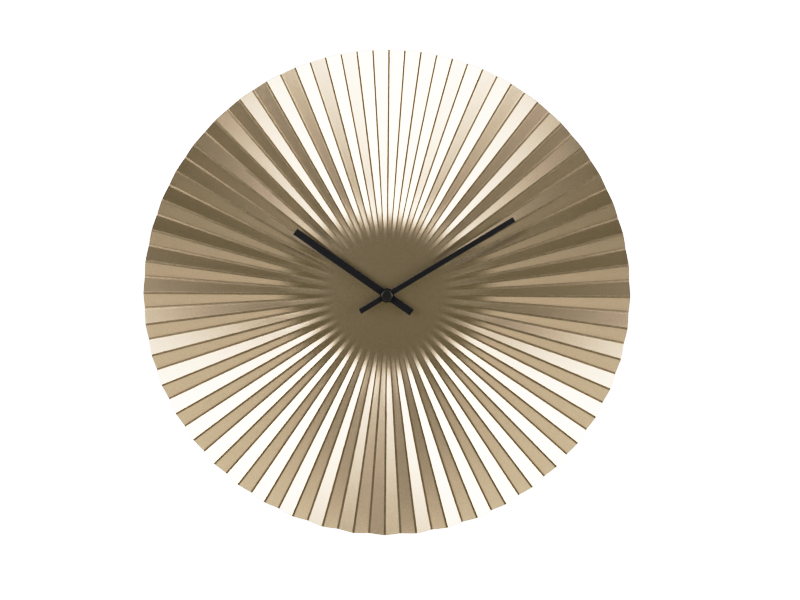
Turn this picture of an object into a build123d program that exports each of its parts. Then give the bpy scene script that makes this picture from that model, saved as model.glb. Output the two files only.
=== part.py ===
from build123d import *
from math import acos, atan2, cos, degrees, pi, radians, sin, sqrt, tan
import os

# Sunburst wall clock: a pleated pressed-steel dial on a quartz movement, with two straight hands.
#
# Frame: +Z up, +Y into the wall, so the dial faces -Y and +X is to the viewer's right. The origin is on the
# hand shaft's axis, in the wall plane that the movement's back rests against. A depth is a distance from the
# wall towards the viewer, so depth d is the plane y = -d. Places are (x, z). Clock angles run clockwise from
# 12 as the viewer sees them, and gear angles counter-clockwise from +X. Lengths are in millimetres.

# ---------------------------------------------------------------- dial and hands
DIAL_RADIUS = 250.0
PLEAT_COUNT = 48
PLEAT_START_RADIUS = 58.0  # the pressed pleats run out into the flat centre here
PLEAT_FULL_RADIUS = 118.0  # from here out, every facet lies in a plane through the dial's middle
PLEAT_FORMING_STEPS = 4  # straight stretches of a ridge between those two radii
FACET_SLOPE = 27.5  # of a facet across its width, in degrees
FACET_ANGLE = 180 / PLEAT_COUNT  # a pleat is one facet on each side of a ridge
DIAL_THICKNESS = 0.8
DIAL_CLOCKING = 0.5  # the dial sits half a degree clockwise on its shaft

MINUTE_ANGLE = 59.0  # ten past ten
HOUR_ANGLE = 300.0 + MINUTE_ANGLE / 12
HOUR_REACH, HOUR_TAIL, HOUR_WIDTH = 114.0, 31.0, 7.4
MINUTE_REACH, MINUTE_TAIL, MINUTE_WIDTH = 151.0, 32.0, 5.4
HAND_THICKNESS = 0.6
HAND_EYE_RADIUS = 7.2
HOUR_COLLET_RADIUS, HOUR_NECK_RADIUS = 3.6, 3.1
MINUTE_COLLET_RADIUS, MINUTE_NECK_RADIUS = 3.2, 2.5
CAP_RADIUS, CAP_ROUNDING = 5.8, 1.2

# ---------------------------------------------------------------- fixings on the shaft
HANGER_THICKNESS = 1.0
HANGER_HALF_WIDTH = 9.0
HANGER_LOW, HANGER_SHELF, HANGER_TOP = -9.0, 30.0, 52.0  # heights of its lower edge, its shelf and its top
HANGER_BEND = 0.8
KEYHOLE_HEIGHT, KEYHOLE_RADIUS = 40.0, 4.0
KEYHOLE_SLOT_RADIUS, KEYHOLE_SLOT_HEIGHT = 2.1, 46.0
RUBBER_WASHER_THICKNESS, RUBBER_WASHER_RADIUS = 1.0, 9.0
BRASS_WASHER_THICKNESS, BRASS_WASHER_RADIUS = 0.5, 6.2
NUT_THICKNESS, NUT_ACROSS_FLATS, NUT_CHAMFER = 2.5, 10.5, 0.3
BUSHING_RADIUS, BUSHING_FLANGE_RADIUS = 4.0, 6.0
BUSHING_HOLE_RADIUS = 4.1  # in the parts that slip over the bushing

# ---------------------------------------------------------------- movement case
CASE_HALF_SIDE = 28.0
CASE_DEPTH = 17.0
CASE_WALL = 1.2
CASE_CORNER, CASE_EDGE, COVER_EDGE = 3.0, 0.8, 0.5
CASE_INNER = CASE_HALF_SIDE - CASE_WALL
COVER_THICKNESS = 1.2
LIP_THICKNESS, LIP_DEPTH = 0.8, 2.3  # of the cover's locating lips, inside the case walls
LIP_START, LIP_END = 5.0, 20.0  # along each wall, from its middle
DIVIDER_LOW, DIVIDER_HIGH = -11.4, -10.4  # the wall between the cell's well and the gear chamber
DIVIDER_HALF_LENGTH = 25.8  # short of the side walls, so that the contacts can pass
POST_RADIUS, SCREW_RADIUS, SCREW_HEAD_RADIUS = 1.8, 0.7, 1.5
SCREW_SLOT_LENGTH, SCREW_SLOT_WIDTH, SCREW_SLOT_DEPTH = 2.4, 0.4, 0.35
PLATE_LIMITS = (-25.0, 25.0, -9.8, 16.3)  # the middle plate: left, right, low, high
PLATE_CORNER = 1.0

CELL_RADIUS, CELL_WRAP = 7.25, 0.15  # an AA cell
CELL_LEFT, CELL_RIGHT = -25.25, 24.25  # the ends of its can
CELL_NUB_RADIUS, CELL_NUB_LENGTH = 2.75, 1.0
CELL_HEIGHT, CELL_DEPTH = -19.2, 8.3
WELL_HALF_LENGTH = 25.6  # of the cover's opening over the cell
WELL_LOW, WELL_HIGH = CELL_HEIGHT - CELL_RADIUS - 0.3, CELL_HEIGHT + CELL_RADIUS + 0.4
WRAP_LEFT, WRAP_RIGHT = CELL_LEFT + 0.2, CELL_RIGHT - 0.25
CONTACT_INNER, CONTACT_OUTER = 26.1, 26.4  # the contact plates, from the middle
CONTACT_TIP = 25.3  # where the contacts meet the cell
CONTACT_LOW, CONTACT_HIGH, CONTACT_BACK, CONTACT_FRONT = -25.0, -13.5, 3.0, 13.0
TAB_WIDTH = 3.0  # of the tab that runs up from each contact to the circuit board
POSITIVE_TAB_TOP, NEGATIVE_TAB_TOP = 4.0, 2.0
BUTTON_RADIUS = 2.0  # of the dimple that meets the cell's nub
SPRING_HALF_LENGTH, SPRING_HALF_WIDTH = 5.0, 2.5  # of the bowed leaf that meets the can's flat end

# ---------------------------------------------------------------- gears
# Involutes with short teeth and a steep pressure angle, so that 8-leaf pinions need no undercut.
PRESSURE_ANGLE = radians(28)
ADDENDUM, DEDENDUM = 0.8, 1.1
BACKLASH = 0.06  # taken off every tooth's thickness at the pitch circle
RUNNING = 0.05  # radial clearance of a shaft in its hole

CANNON_LEAVES, MOTION_TEETH, MOTION_LEAVES, HOUR_TEETH, SETTING_LEAVES = 14, 42, 10, 40, 14
SECONDS_LEAVES, THIRD_TEETH, THIRD_LEAVES, CENTRE_TEETH = 8, 64, 8, 60
SECONDS_TEETH, INTERMEDIATE_LEAVES, INTERMEDIATE_TEETH, ROTOR_LEAVES = 40, 8, 60, 10

MOTION_MODULE = 0.4
MOTION_DISTANCE = MOTION_MODULE * (CANNON_LEAVES + MOTION_TEETH) / 2
HOUR_MODULE = 2 * MOTION_DISTANCE / (MOTION_LEAVES + HOUR_TEETH)
CENTRE_MODULE = 0.3
CENTRE_DISTANCE = CENTRE_MODULE * (CENTRE_TEETH + THIRD_LEAVES) / 2
THIRD_MODULE = 2 * CENTRE_DISTANCE / (THIRD_TEETH + SECONDS_LEAVES)
SECONDS_MODULE = 0.42
SECONDS_DISTANCE = SECONDS_MODULE * (SECONDS_TEETH + INTERMEDIATE_LEAVES) / 2
ROTOR_MODULE = 0.25
ROTOR_DISTANCE = ROTOR_MODULE * (INTERMEDIATE_TEETH + ROTOR_LEAVES) / 2

# ---------------------------------------------------------------- depths from the wall
FRONT_WALL = CASE_DEPTH - CASE_WALL
HANGER_FRONT = CASE_DEPTH + HANGER_THICKNESS
DIAL_BACK = HANGER_FRONT + RUBBER_WASHER_THICKNESS
DIAL_FRONT = DIAL_BACK + DIAL_THICKNESS
WASHER_FRONT = DIAL_FRONT + BRASS_WASHER_THICKNESS
NUT_FRONT = WASHER_FRONT + NUT_THICKNESS
BUSHING_BACK, BUSHING_FRONT = FRONT_WALL - 0.8, 28.0
HOUR_COLLET_BACK, HOUR_HAND_BACK, HOUR_COLLET_FRONT, HOUR_TUBE_FRONT = 28.3, 30.3, 31.2, 31.5
MINUTE_COLLET_BACK, MINUTE_HAND_BACK, MINUTE_TUBE_FRONT = 32.1, 33.5, 36.2
CAP_BACK, CAP_SHOULDER, CAP_FRONT = 34.5, 37.0, 37.8
PLATE_BACK, PLATE_FRONT = 5.2, 6.2  # the middle plate
BOARD_BACK = 4.4  # the circuit board lies against the middle plate
PIVOT_BACK, PIVOT_FRONT = 5.4, 16.4  # the arbors' ends, in the middle plate and the front wall
SECONDS_WHEEL, SECONDS_PINION_FRONT = (6.7, 7.5), 8.75
THIRD_WHEEL, THIRD_PINION_FRONT = (7.9, 8.7), 10.4
STATOR = (8.0, 8.8)
CORE_FRONT = 9.6
CENTRE_WHEEL = (9.4, 10.2)
CLUTCH_SPRING = (10.25, 10.55)
INTERMEDIATE_WHEEL, INTERMEDIATE_PINION = (10.8, 11.4), (6.5, 7.7)
MAGNET = (6.8, 9.6)
ROTOR_PINION = (10.6, 11.6)
CANNON_BACK, CANNON_PINION = 8.9, (11.8, 13.2)
SETTING_PINION = (11.8, 13.0)
MOTION_WHEEL, MOTION_PINION_FRONT = (12.0, 12.8), 14.8
HOUR_WHEEL = (13.8, 14.6)

# ---------------------------------------------------------------- shafts and tubes
HOUR_TUBE_RADIUS, HOUR_TUBE_BORE = 2.55, 1.8
MINUTE_TUBE_RADIUS = HOUR_TUBE_BORE - RUNNING
MINUTE_TUBE_BORE = 0.75
CLUTCH_SEAT_RADIUS = 1.4  # of the minute tube, where the centre wheel rides on it
SECONDS_ARBOR_RADIUS = MINUTE_TUBE_BORE - RUNNING
ARBOR_RADIUS, SLEEVE_RADIUS = 0.4, 0.6
PIVOT_HOLE_RADIUS = ARBOR_RADIUS + RUNNING
MAGNET_RADIUS, MAGNET_BORE = 2.5, 0.9
CLUTCH_COLLAR_RADIUS, CLUTCH_SPRING_RADIUS = 2.0, 3.2
KNOB_SHAFT_RADIUS, KNOB_RADIUS, KNOB_HOLE_RADIUS = 1.0, 5.5, 5.9
KNOB_BACK, KNOB_FRONT = 0.4, 3.4
KNOB_GRIPS, GRIP_RADIUS, GRIP_OFFSET = 24, 0.45, 0.15  # scallops round the knob, centred outside its edge

# ---------------------------------------------------------------- electronics and motor
# Rectangles are left, right, low, high.
BOARD_MAIN = (3.0, CONTACT_INNER, 2.0, 25.0)
BOARD_ARM = (-CONTACT_INNER, 8.0, -3.5, 3.0)
CRYSTAL_RADIUS, CRYSTAL_LEFT, CRYSTAL_RIGHT, CRYSTAL_HEIGHT = 1.0, 6.0, 12.0, 8.0
CHIP_RADIUS, CHIP_RISE, CHIP_ROUNDING, CHIP_PLACE = 3.2, 1.1, 1.0, (18.0, 14.0)
STATOR_YOKE = (7.0, 25.0, 5.6, 13.7)
STATOR_LEGS = [(7.0, 10.0, 13.0, 24.0), (22.0, 25.0, 13.0, 24.0)]
STATOR_BORE, STATOR_POST_RADIUS = 2.9, 1.2
CORE_BLOCK = (7.0, 25.0, 20.0, 23.0, STATOR[1], CORE_FRONT)
COIL_HEIGHT, COIL_DEPTH, COIL_RADIUS = 21.5, 9.2, 3.6
BOBBIN_LEFT, BOBBIN_RIGHT, BOBBIN_FLANGE = 10.3, 21.7, 0.8
BOBBIN_TUBE = (19.4, 23.6, 8.2, 10.2)  # low, high, back, front
FLANGE_LIMITS = (17.7, 25.3, 5.4, 13.0)  # low, high, back, front


# ---------------------------------------------------------------- helpers
def polar_step(start, distance, angle):
    """The place at a distance from start, at an angle counter-clockwise from +X."""
    turn = radians(angle)
    return (start[0] + distance * cos(turn), start[1] + distance * sin(turn))


def direction(start, end):
    """The angle from one place to another, counter-clockwise from +X."""
    return degrees(atan2(end[1] - start[1], end[0] - start[0]))


CENTRE = (0.0, 0.0)
MOTION = polar_step(CENTRE, MOTION_DISTANCE, 180)
SETTING = polar_step(MOTION, MOTION_DISTANCE, 130)
THIRD = polar_step(CENTRE, CENTRE_DISTANCE, 120)
INTERMEDIATE = polar_step(CENTRE, SECONDS_DISTANCE, 20)
ROTOR = polar_step(INTERMEDIATE, ROTOR_DISTANCE, 45)
PLATE_POSTS = [(23.6, 0.0), (12.0, -8.2), (-22.0, -6.0), (-17.0, 14.0)]
COVER_POSTS = [(-23.5, 23.5), (-1.0, 23.5)]
STATOR_POSTS = [(8.5, 14.8), (23.5, 14.8)]


def at_depth(depth, place=CENTRE):
    """A sketch plane that faces the viewer at that depth, with its own origin at place."""
    return Plane(origin=(place[0], -depth, place[1]), x_dir=(1, 0, 0), z_dir=(0, -1, 0))


def rod(radius, back, front, place=CENTRE, mode=Mode.ADD):
    """A round bar along the depth, in the part that is being built."""
    with BuildSketch(at_depth(back, place)) as profile:
        Circle(radius)
    extrude(profile.sketch, amount=front - back, mode=mode)


def block(left, right, low, high, back, front, corner=0.0, mode=Mode.ADD):
    """A rectangular block between those limits, with its corners rounded as the viewer sees it."""
    middle = ((left + right) / 2, (low + high) / 2)
    with BuildSketch(at_depth(back, middle)) as profile:
        if corner:
            RectangleRounded(right - left, high - low, corner)
        else:
            Rectangle(right - left, high - low)
    extrude(profile.sketch, amount=front - back, mode=mode)


def side_rod(radius, left, right, height, depth, mode=Mode.ADD):
    """A round bar along +X."""
    with BuildSketch(Plane(origin=(left, -depth, height), x_dir=(0, 1, 0), z_dir=(1, 0, 0))) as profile:
        Circle(radius)
    extrude(profile.sketch, amount=right - left, mode=mode)


def save(piece, name):
    """Labels a finished sub-part and writes its file."""
    piece.part.label = name
    export_step(piece.part, f"parts/{name}.step")


def mesh_angle(place, teeth, angle, other, other_teeth):
    """The angle at which the other gear's teeth fit the first gear's, whose own angle is given."""
    line = direction(place, other)
    pitches_past_a_tooth = (line - angle) * teeth / 360
    return line + 180 + (pitches_past_a_tooth + 0.5) * 360 / other_teeth


def gear(teeth, module, angle, span, place=CENTRE):
    """A spur gear with a tooth centred at that angle. Each flank is an arc through three involute points."""
    pitch = teeth * module / 2
    base, root, tip = pitch * cos(PRESSURE_ANGLE), pitch - DEDENDUM * module, pitch + ADDENDUM * module
    foot = max(base, root)
    half_way = (foot + tip) / 2
    half_tooth = pi / (2 * teeth) - BACKLASH / (2 * pitch)
    pitch_involute = tan(PRESSURE_ANGLE) - PRESSURE_ANGLE

    def flank(radius, middle, side):
        """The point of a tooth's flank at that radius."""
        pressure = acos(min(1.0, base / radius))
        turn = middle + side * (half_tooth + pitch_involute - tan(pressure) + pressure)
        return (radius * cos(turn), radius * sin(turn))

    def below_foot(middle, side):
        """The point of the root circle straight below a flank's foot."""
        x, y = flank(foot, middle, side)
        return (x * root / foot, y * root / foot)

    with BuildSketch(at_depth(span[0], place)) as profile:
        with BuildLine():
            for tooth in range(teeth):
                middle = radians(angle) + 2 * pi * tooth / teeth
                following = middle + 2 * pi / teeth
                gap = (middle + following) / 2
                if root < foot:
                    Line(below_foot(middle, -1), flank(foot, middle, -1))
                    Line(flank(foot, middle, 1), below_foot(middle, 1))
                for side in (-1, 1):
                    ThreePointArc(*[flank(radius, middle, side) for radius in (foot, half_way, tip)])
                top = (tip * cos(middle), tip * sin(middle))
                ThreePointArc(flank(tip, middle, -1), top, flank(tip, middle, 1))
                bottom = (root * cos(gap), root * sin(gap))
                ThreePointArc(below_foot(middle, 1), bottom, below_foot(following, -1))
        make_face()
    extrude(profile.sketch, amount=span[1] - span[0])


def arbor(place):
    """A thin steel shaft from the middle plate to the front wall."""
    rod(ARBOR_RADIUS, PIVOT_BACK, PIVOT_FRONT, place)


def screw(place, head_back, head_front, tip):
    """A small screw with its slotted head to the back."""
    rod(SCREW_HEAD_RADIUS, head_back, head_front, place)
    rod(SCREW_RADIUS, head_front, tip, place)
    with BuildSketch(at_depth(head_back, place)) as slot:
        Rectangle(SCREW_SLOT_LENGTH, SCREW_SLOT_WIDTH)
    extrude(slot.sketch, amount=SCREW_SLOT_DEPTH, mode=Mode.SUBTRACT)


os.makedirs("parts", exist_ok=True)


# ---------------------------------------------------------------- pleated dial
def facet_section(distance, half_depth):
    """One facet of the sheet, cut square to its ridge at a distance from the dial's middle."""
    half_width = distance * tan(radians(FACET_ANGLE))
    with BuildSketch(Plane(origin=(0, distance, 0), x_dir=(1, 0, 0), z_dir=(0, -1, 0))) as section:
        with BuildLine():
            Polyline(
                (0, DIAL_FRONT + half_depth),
                (half_width, DIAL_FRONT - half_depth),
                (half_width, DIAL_BACK - half_depth),
                (0, DIAL_BACK + half_depth),
                close=True,
            )
        make_face()
    return section.sketch


def half_depth(distance):
    """Half of the height from valley to ridge. The pleats rise quickly at first, then ease to their full slope."""
    formed = (distance - START_DISTANCE) / (PLEAT_FULL_RADIUS - START_DISTANCE)
    share = 1 - max(0, 1 - formed) ** 1.5
    return share * distance * tan(radians(FACET_ANGLE)) * tan(radians(FACET_SLOPE)) / 2


START_DISTANCE = PLEAT_START_RADIUS * cos(radians(FACET_ANGLE))
OVERSIZE_DISTANCE = DIAL_RADIUS * 1.02  # pressed a little large, then cut round
FORMING_STEP = (PLEAT_FULL_RADIUS - START_DISTANCE) / PLEAT_FORMING_STEPS

with BuildPart() as pleat:  # one of the forty-eight, in a frame of its own with its ridge along +Y
    forming = [START_DISTANCE + FORMING_STEP * step for step in range(PLEAT_FORMING_STEPS + 1)]
    loft([facet_section(d, half_depth(d)) for d in forming + [OVERSIZE_DISTANCE]], ruled=True)
    mirror(about=Plane.YZ)

with BuildPart() as pleated_dial:
    with BuildSketch(at_depth(DIAL_BACK)):
        RegularPolygon(PLEAT_START_RADIUS, PLEAT_COUNT, rotation=90 - DIAL_CLOCKING + FACET_ANGLE)
    extrude(amount=DIAL_THICKNESS)
    with Locations(at_depth(0)):
        with PolarLocations(0, PLEAT_COUNT, start_angle=-DIAL_CLOCKING):
            add(pleat.part)
    rod(DIAL_RADIUS, 0, 2 * DIAL_FRONT, mode=Mode.INTERSECT)
    rod(BUSHING_HOLE_RADIUS, 0, 2 * DIAL_FRONT, mode=Mode.SUBTRACT)
save(pleated_dial, "pleated_dial")


# ---------------------------------------------------------------- hands
def hand_plate(reach, tail, width, angle, back, hole_radius):
    """A straight bar with square ends and a round eye, in the part that is being built."""
    with BuildSketch(at_depth(back)) as profile:
        Circle(HAND_EYE_RADIUS)
        with PolarLocations((reach - tail) / 2, 1, start_angle=90 - angle):
            Rectangle(reach + tail, width)
        Circle(hole_radius, mode=Mode.SUBTRACT)
    extrude(profile.sketch, amount=HAND_THICKNESS)


def collet(bore, body_radius, neck_radius, back, shoulder, front):
    """The tube that a hand is riveted on, in the part that is being built."""
    rod(body_radius, back, shoulder)
    rod(neck_radius, shoulder, front)
    rod(bore, back, front, mode=Mode.SUBTRACT)


with BuildPart() as hour_hand:
    hand_plate(HOUR_REACH, HOUR_TAIL, HOUR_WIDTH, HOUR_ANGLE, HOUR_HAND_BACK, HOUR_NECK_RADIUS)
save(hour_hand, "hour_hand")

with BuildPart() as hour_hand_collet:
    collet(
        HOUR_TUBE_RADIUS,
        HOUR_COLLET_RADIUS,
        HOUR_NECK_RADIUS,
        HOUR_COLLET_BACK,
        HOUR_HAND_BACK,
        HOUR_COLLET_FRONT,
    )
save(hour_hand_collet, "hour_hand_collet")

with BuildPart() as minute_hand:
    hand_plate(
        MINUTE_REACH, MINUTE_TAIL, MINUTE_WIDTH, MINUTE_ANGLE, MINUTE_HAND_BACK, MINUTE_NECK_RADIUS
    )
save(minute_hand, "minute_hand")

with BuildPart() as minute_hand_collet:
    collet(
        MINUTE_TUBE_RADIUS,
        MINUTE_COLLET_RADIUS,
        MINUTE_NECK_RADIUS,
        MINUTE_COLLET_BACK,
        MINUTE_HAND_BACK,
        CAP_BACK,
    )
save(minute_hand_collet, "minute_hand_collet")

DOME_HEIGHT = CAP_FRONT - CAP_SHOULDER
DOME_RADIUS = (CAP_RADIUS**2 + DOME_HEIGHT**2) / (2 * DOME_HEIGHT)

with BuildPart() as cap_nut:
    with BuildSketch(Plane.XY):
        with BuildLine():
            Polyline((0, -CAP_FRONT), (0, -CAP_BACK), (CAP_RADIUS, -CAP_BACK), (CAP_RADIUS, -CAP_SHOULDER))
            dome_middle = DOME_RADIUS - sqrt(DOME_RADIUS**2 - (CAP_RADIUS / 2) ** 2)
            ThreePointArc(
                (CAP_RADIUS, -CAP_SHOULDER), (CAP_RADIUS / 2, dome_middle - CAP_FRONT), (0, -CAP_FRONT)
            )
        make_face()
    revolve(axis=Axis.Y)
    near_shoulder = (-CAP_SHOULDER - CAP_ROUNDING / 10, -CAP_SHOULDER + CAP_ROUNDING / 10)
    fillet(cap_nut.edges().filter_by_position(Axis.Y, *near_shoulder), CAP_ROUNDING)
    rod(MINUTE_TUBE_RADIUS, CAP_BACK, MINUTE_TUBE_FRONT, mode=Mode.SUBTRACT)
save(cap_nut, "cap_nut")

# ---------------------------------------------------------------- fixings on the shaft
with BuildPart() as hex_nut:
    with BuildSketch(at_depth(WASHER_FRONT)):
        RegularPolygon(NUT_ACROSS_FLATS / 2, 6, major_radius=False)
    extrude(amount=NUT_THICKNESS)
    chamfer(hex_nut.faces().sort_by(Axis.Y)[0].edges(), NUT_CHAMFER)
    rod(BUSHING_RADIUS, WASHER_FRONT, NUT_FRONT, mode=Mode.SUBTRACT)
save(hex_nut, "hex_nut")

with BuildPart() as brass_washer:
    rod(BRASS_WASHER_RADIUS, DIAL_FRONT, WASHER_FRONT)
    rod(BUSHING_HOLE_RADIUS, DIAL_FRONT, WASHER_FRONT, mode=Mode.SUBTRACT)
save(brass_washer, "brass_washer")

with BuildPart() as rubber_washer:
    rod(RUBBER_WASHER_RADIUS, HANGER_FRONT, DIAL_BACK)
    rod(BUSHING_HOLE_RADIUS, HANGER_FRONT, DIAL_BACK, mode=Mode.SUBTRACT)
save(rubber_washer, "rubber_washer")

with BuildPart() as hanger_bracket:
    shelf_low = HANGER_SHELF - HANGER_THICKNESS
    block(-HANGER_HALF_WIDTH, HANGER_HALF_WIDTH, HANGER_LOW, HANGER_SHELF, CASE_DEPTH, HANGER_FRONT)
    block(-HANGER_HALF_WIDTH, HANGER_HALF_WIDTH, shelf_low, HANGER_SHELF, 0, HANGER_FRONT)
    block(-HANGER_HALF_WIDTH, HANGER_HALF_WIDTH, shelf_low, HANGER_TOP, 0, HANGER_THICKNESS)
    bends = hanger_bracket.edges().filter_by(Axis.X).filter_by_position(Axis.Z, shelf_low, HANGER_SHELF)
    fillet(bends, HANGER_BEND)
    rod(BUSHING_HOLE_RADIUS, CASE_DEPTH, HANGER_FRONT, mode=Mode.SUBTRACT)
    rod(KEYHOLE_RADIUS, 0, HANGER_THICKNESS, (0, KEYHOLE_HEIGHT), mode=Mode.SUBTRACT)
    rod(KEYHOLE_SLOT_RADIUS, 0, HANGER_THICKNESS, (0, KEYHOLE_SLOT_HEIGHT), mode=Mode.SUBTRACT)
    block(
        -KEYHOLE_SLOT_RADIUS,
        KEYHOLE_SLOT_RADIUS,
        KEYHOLE_HEIGHT,
        KEYHOLE_SLOT_HEIGHT,
        0,
        HANGER_THICKNESS,
        mode=Mode.SUBTRACT,
    )
save(hanger_bracket, "hanger_bracket")

# ---------------------------------------------------------------- movement case
POST_HOLE_DEPTH = 10.0
COVER_SCREW_TIP, COVER_SCREW_HEAD = 6.8, (0.1, 0.7)

with BuildPart() as front_case:
    block(
        -CASE_HALF_SIDE,
        CASE_HALF_SIDE,
        -CASE_HALF_SIDE,
        CASE_HALF_SIDE,
        COVER_THICKNESS,
        CASE_DEPTH,
        corner=CASE_CORNER,
    )
    fillet(front_case.faces().sort_by(Axis.Y)[0].edges(), CASE_EDGE)
    block(
        -CASE_INNER,
        CASE_INNER,
        -CASE_INNER,
        CASE_INNER,
        COVER_THICKNESS,
        FRONT_WALL,
        corner=CASE_CORNER - CASE_WALL,
        mode=Mode.SUBTRACT,
    )
    block(
        -DIVIDER_HALF_LENGTH, DIVIDER_HALF_LENGTH, DIVIDER_LOW, DIVIDER_HIGH, COVER_THICKNESS, FRONT_WALL
    )
    rod(BUSHING_RADIUS, FRONT_WALL, CASE_DEPTH, mode=Mode.SUBTRACT)
    for post in PLATE_POSTS:
        rod(POST_RADIUS, PLATE_FRONT, FRONT_WALL, post)
        rod(SCREW_RADIUS, PLATE_FRONT, POST_HOLE_DEPTH, post, mode=Mode.SUBTRACT)
    for post in COVER_POSTS:
        rod(POST_RADIUS, COVER_THICKNESS, FRONT_WALL, post)
        rod(SCREW_RADIUS, COVER_THICKNESS, COVER_SCREW_TIP, post, mode=Mode.SUBTRACT)
    for pivot in (MOTION, SETTING, THIRD, INTERMEDIATE, ROTOR):
        rod(PIVOT_HOLE_RADIUS, FRONT_WALL, PIVOT_FRONT + RUNNING, pivot, mode=Mode.SUBTRACT)
save(front_case, "front_case")

with BuildPart() as threaded_bushing:
    rod(BUSHING_FLANGE_RADIUS, BUSHING_BACK, FRONT_WALL)
    rod(BUSHING_RADIUS, FRONT_WALL, BUSHING_FRONT)
    rod(HOUR_TUBE_RADIUS + RUNNING, BUSHING_BACK, BUSHING_FRONT, mode=Mode.SUBTRACT)
save(threaded_bushing, "threaded_bushing")

with BuildPart() as rear_cover:
    block(
        -CASE_HALF_SIDE,
        CASE_HALF_SIDE,
        -CASE_HALF_SIDE,
        CASE_HALF_SIDE,
        0,
        COVER_THICKNESS,
        corner=CASE_CORNER,
    )
    fillet(rear_cover.faces().sort_by(Axis.Y)[-1].edges(), COVER_EDGE)
    lip_front = COVER_THICKNESS + LIP_DEPTH
    block(-CASE_INNER, LIP_THICKNESS - CASE_INNER, LIP_START, LIP_END, COVER_THICKNESS, lip_front)
    block(CASE_INNER - LIP_THICKNESS, CASE_INNER, LIP_START, LIP_END, COVER_THICKNESS, lip_front)
    block(LIP_START, LIP_END, CASE_INNER - LIP_THICKNESS, CASE_INNER, COVER_THICKNESS, lip_front)
    block(
        -WELL_HALF_LENGTH, WELL_HALF_LENGTH, WELL_LOW, WELL_HIGH, 0, COVER_THICKNESS, mode=Mode.SUBTRACT
    )
    rod(KNOB_HOLE_RADIUS, 0, COVER_THICKNESS, SETTING, mode=Mode.SUBTRACT)
    for post in COVER_POSTS:
        rod(SCREW_RADIUS, 0, COVER_THICKNESS, post, mode=Mode.SUBTRACT)
        rod(SCREW_HEAD_RADIUS, 0, COVER_SCREW_HEAD[1], post, mode=Mode.SUBTRACT)
save(rear_cover, "rear_cover")

with BuildPart() as middle_plate:
    block(*PLATE_LIMITS, PLATE_BACK, PLATE_FRONT, corner=PLATE_CORNER)
    for post in STATOR_POSTS:
        rod(STATOR_POST_RADIUS, PLATE_FRONT, STATOR[0], post)
    for pivot in (CENTRE, MOTION, THIRD, INTERMEDIATE, ROTOR):
        rod(PIVOT_HOLE_RADIUS, PLATE_BACK, PLATE_FRONT, pivot, mode=Mode.SUBTRACT)
    rod(KNOB_SHAFT_RADIUS + RUNNING, PLATE_BACK, PLATE_FRONT, SETTING, mode=Mode.SUBTRACT)
    for post in PLATE_POSTS:
        rod(SCREW_RADIUS, PLATE_BACK, PLATE_FRONT, post, mode=Mode.SUBTRACT)
save(middle_plate, "middle_plate")

with BuildPart() as plate_screws:
    for post in PLATE_POSTS:
        screw(post, BOARD_BACK, PLATE_BACK, POST_HOLE_DEPTH)
save(plate_screws, "plate_screws")

with BuildPart() as cover_screws:
    for post in COVER_POSTS:
        screw(post, *COVER_SCREW_HEAD, COVER_SCREW_TIP)
save(cover_screws, "cover_screws")

# ---------------------------------------------------------------- board and motor
with BuildPart() as circuit_board:
    block(*BOARD_MAIN, BOARD_BACK, PLATE_BACK)
    block(*BOARD_ARM, BOARD_BACK, PLATE_BACK)
save(circuit_board, "circuit_board")

with BuildPart() as quartz_crystal:
    side_rod(CRYSTAL_RADIUS, CRYSTAL_LEFT, CRYSTAL_RIGHT, CRYSTAL_HEIGHT, BOARD_BACK - CRYSTAL_RADIUS)
save(quartz_crystal, "quartz_crystal")

with BuildPart() as chip_blob:
    rod(CHIP_RADIUS, BOARD_BACK - CHIP_RISE, BOARD_BACK, CHIP_PLACE)
    fillet(chip_blob.faces().sort_by(Axis.Y)[-1].edges(), CHIP_ROUNDING)
save(chip_blob, "chip_blob")

with BuildPart() as stator:
    block(*STATOR_YOKE, *STATOR)
    for leg in STATOR_LEGS:
        block(*leg, *STATOR)
    rod(STATOR_BORE, *STATOR, ROTOR, mode=Mode.SUBTRACT)
save(stator, "stator")

with BuildPart() as coil_core:
    block(*CORE_BLOCK)
save(coil_core, "coil_core")

with BuildPart() as coil_bobbin:
    block(BOBBIN_LEFT, BOBBIN_RIGHT, *BOBBIN_TUBE)
    for left in (BOBBIN_LEFT, BOBBIN_RIGHT - BOBBIN_FLANGE):
        block(left, left + BOBBIN_FLANGE, *FLANGE_LIMITS)
    block(*CORE_BLOCK, mode=Mode.SUBTRACT)
save(coil_bobbin, "coil_bobbin")

with BuildPart() as coil_winding:
    side_rod(
        COIL_RADIUS, BOBBIN_LEFT + BOBBIN_FLANGE, BOBBIN_RIGHT - BOBBIN_FLANGE, COIL_HEIGHT, COIL_DEPTH
    )
    block(BOBBIN_LEFT, BOBBIN_RIGHT, *BOBBIN_TUBE, mode=Mode.SUBTRACT)
save(coil_winding, "coil_winding")

# ---------------------------------------------------------------- wheels
MOTION_PHASE = mesh_angle(CENTRE, CANNON_LEAVES, 0, MOTION, MOTION_TEETH)
SETTING_PHASE = mesh_angle(MOTION, MOTION_TEETH, MOTION_PHASE, SETTING, SETTING_LEAVES)
HOUR_PHASE = mesh_angle(MOTION, MOTION_LEAVES, 0, CENTRE, HOUR_TEETH)
THIRD_PHASE = mesh_angle(CENTRE, SECONDS_LEAVES, 0, THIRD, THIRD_TEETH)
CENTRE_PHASE = mesh_angle(THIRD, THIRD_LEAVES, 0, CENTRE, CENTRE_TEETH)
INTERMEDIATE_PHASE = mesh_angle(CENTRE, SECONDS_TEETH, 0, INTERMEDIATE, INTERMEDIATE_LEAVES)
ROTOR_PHASE = mesh_angle(INTERMEDIATE, INTERMEDIATE_TEETH, 0, ROTOR, ROTOR_LEAVES)

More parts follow.
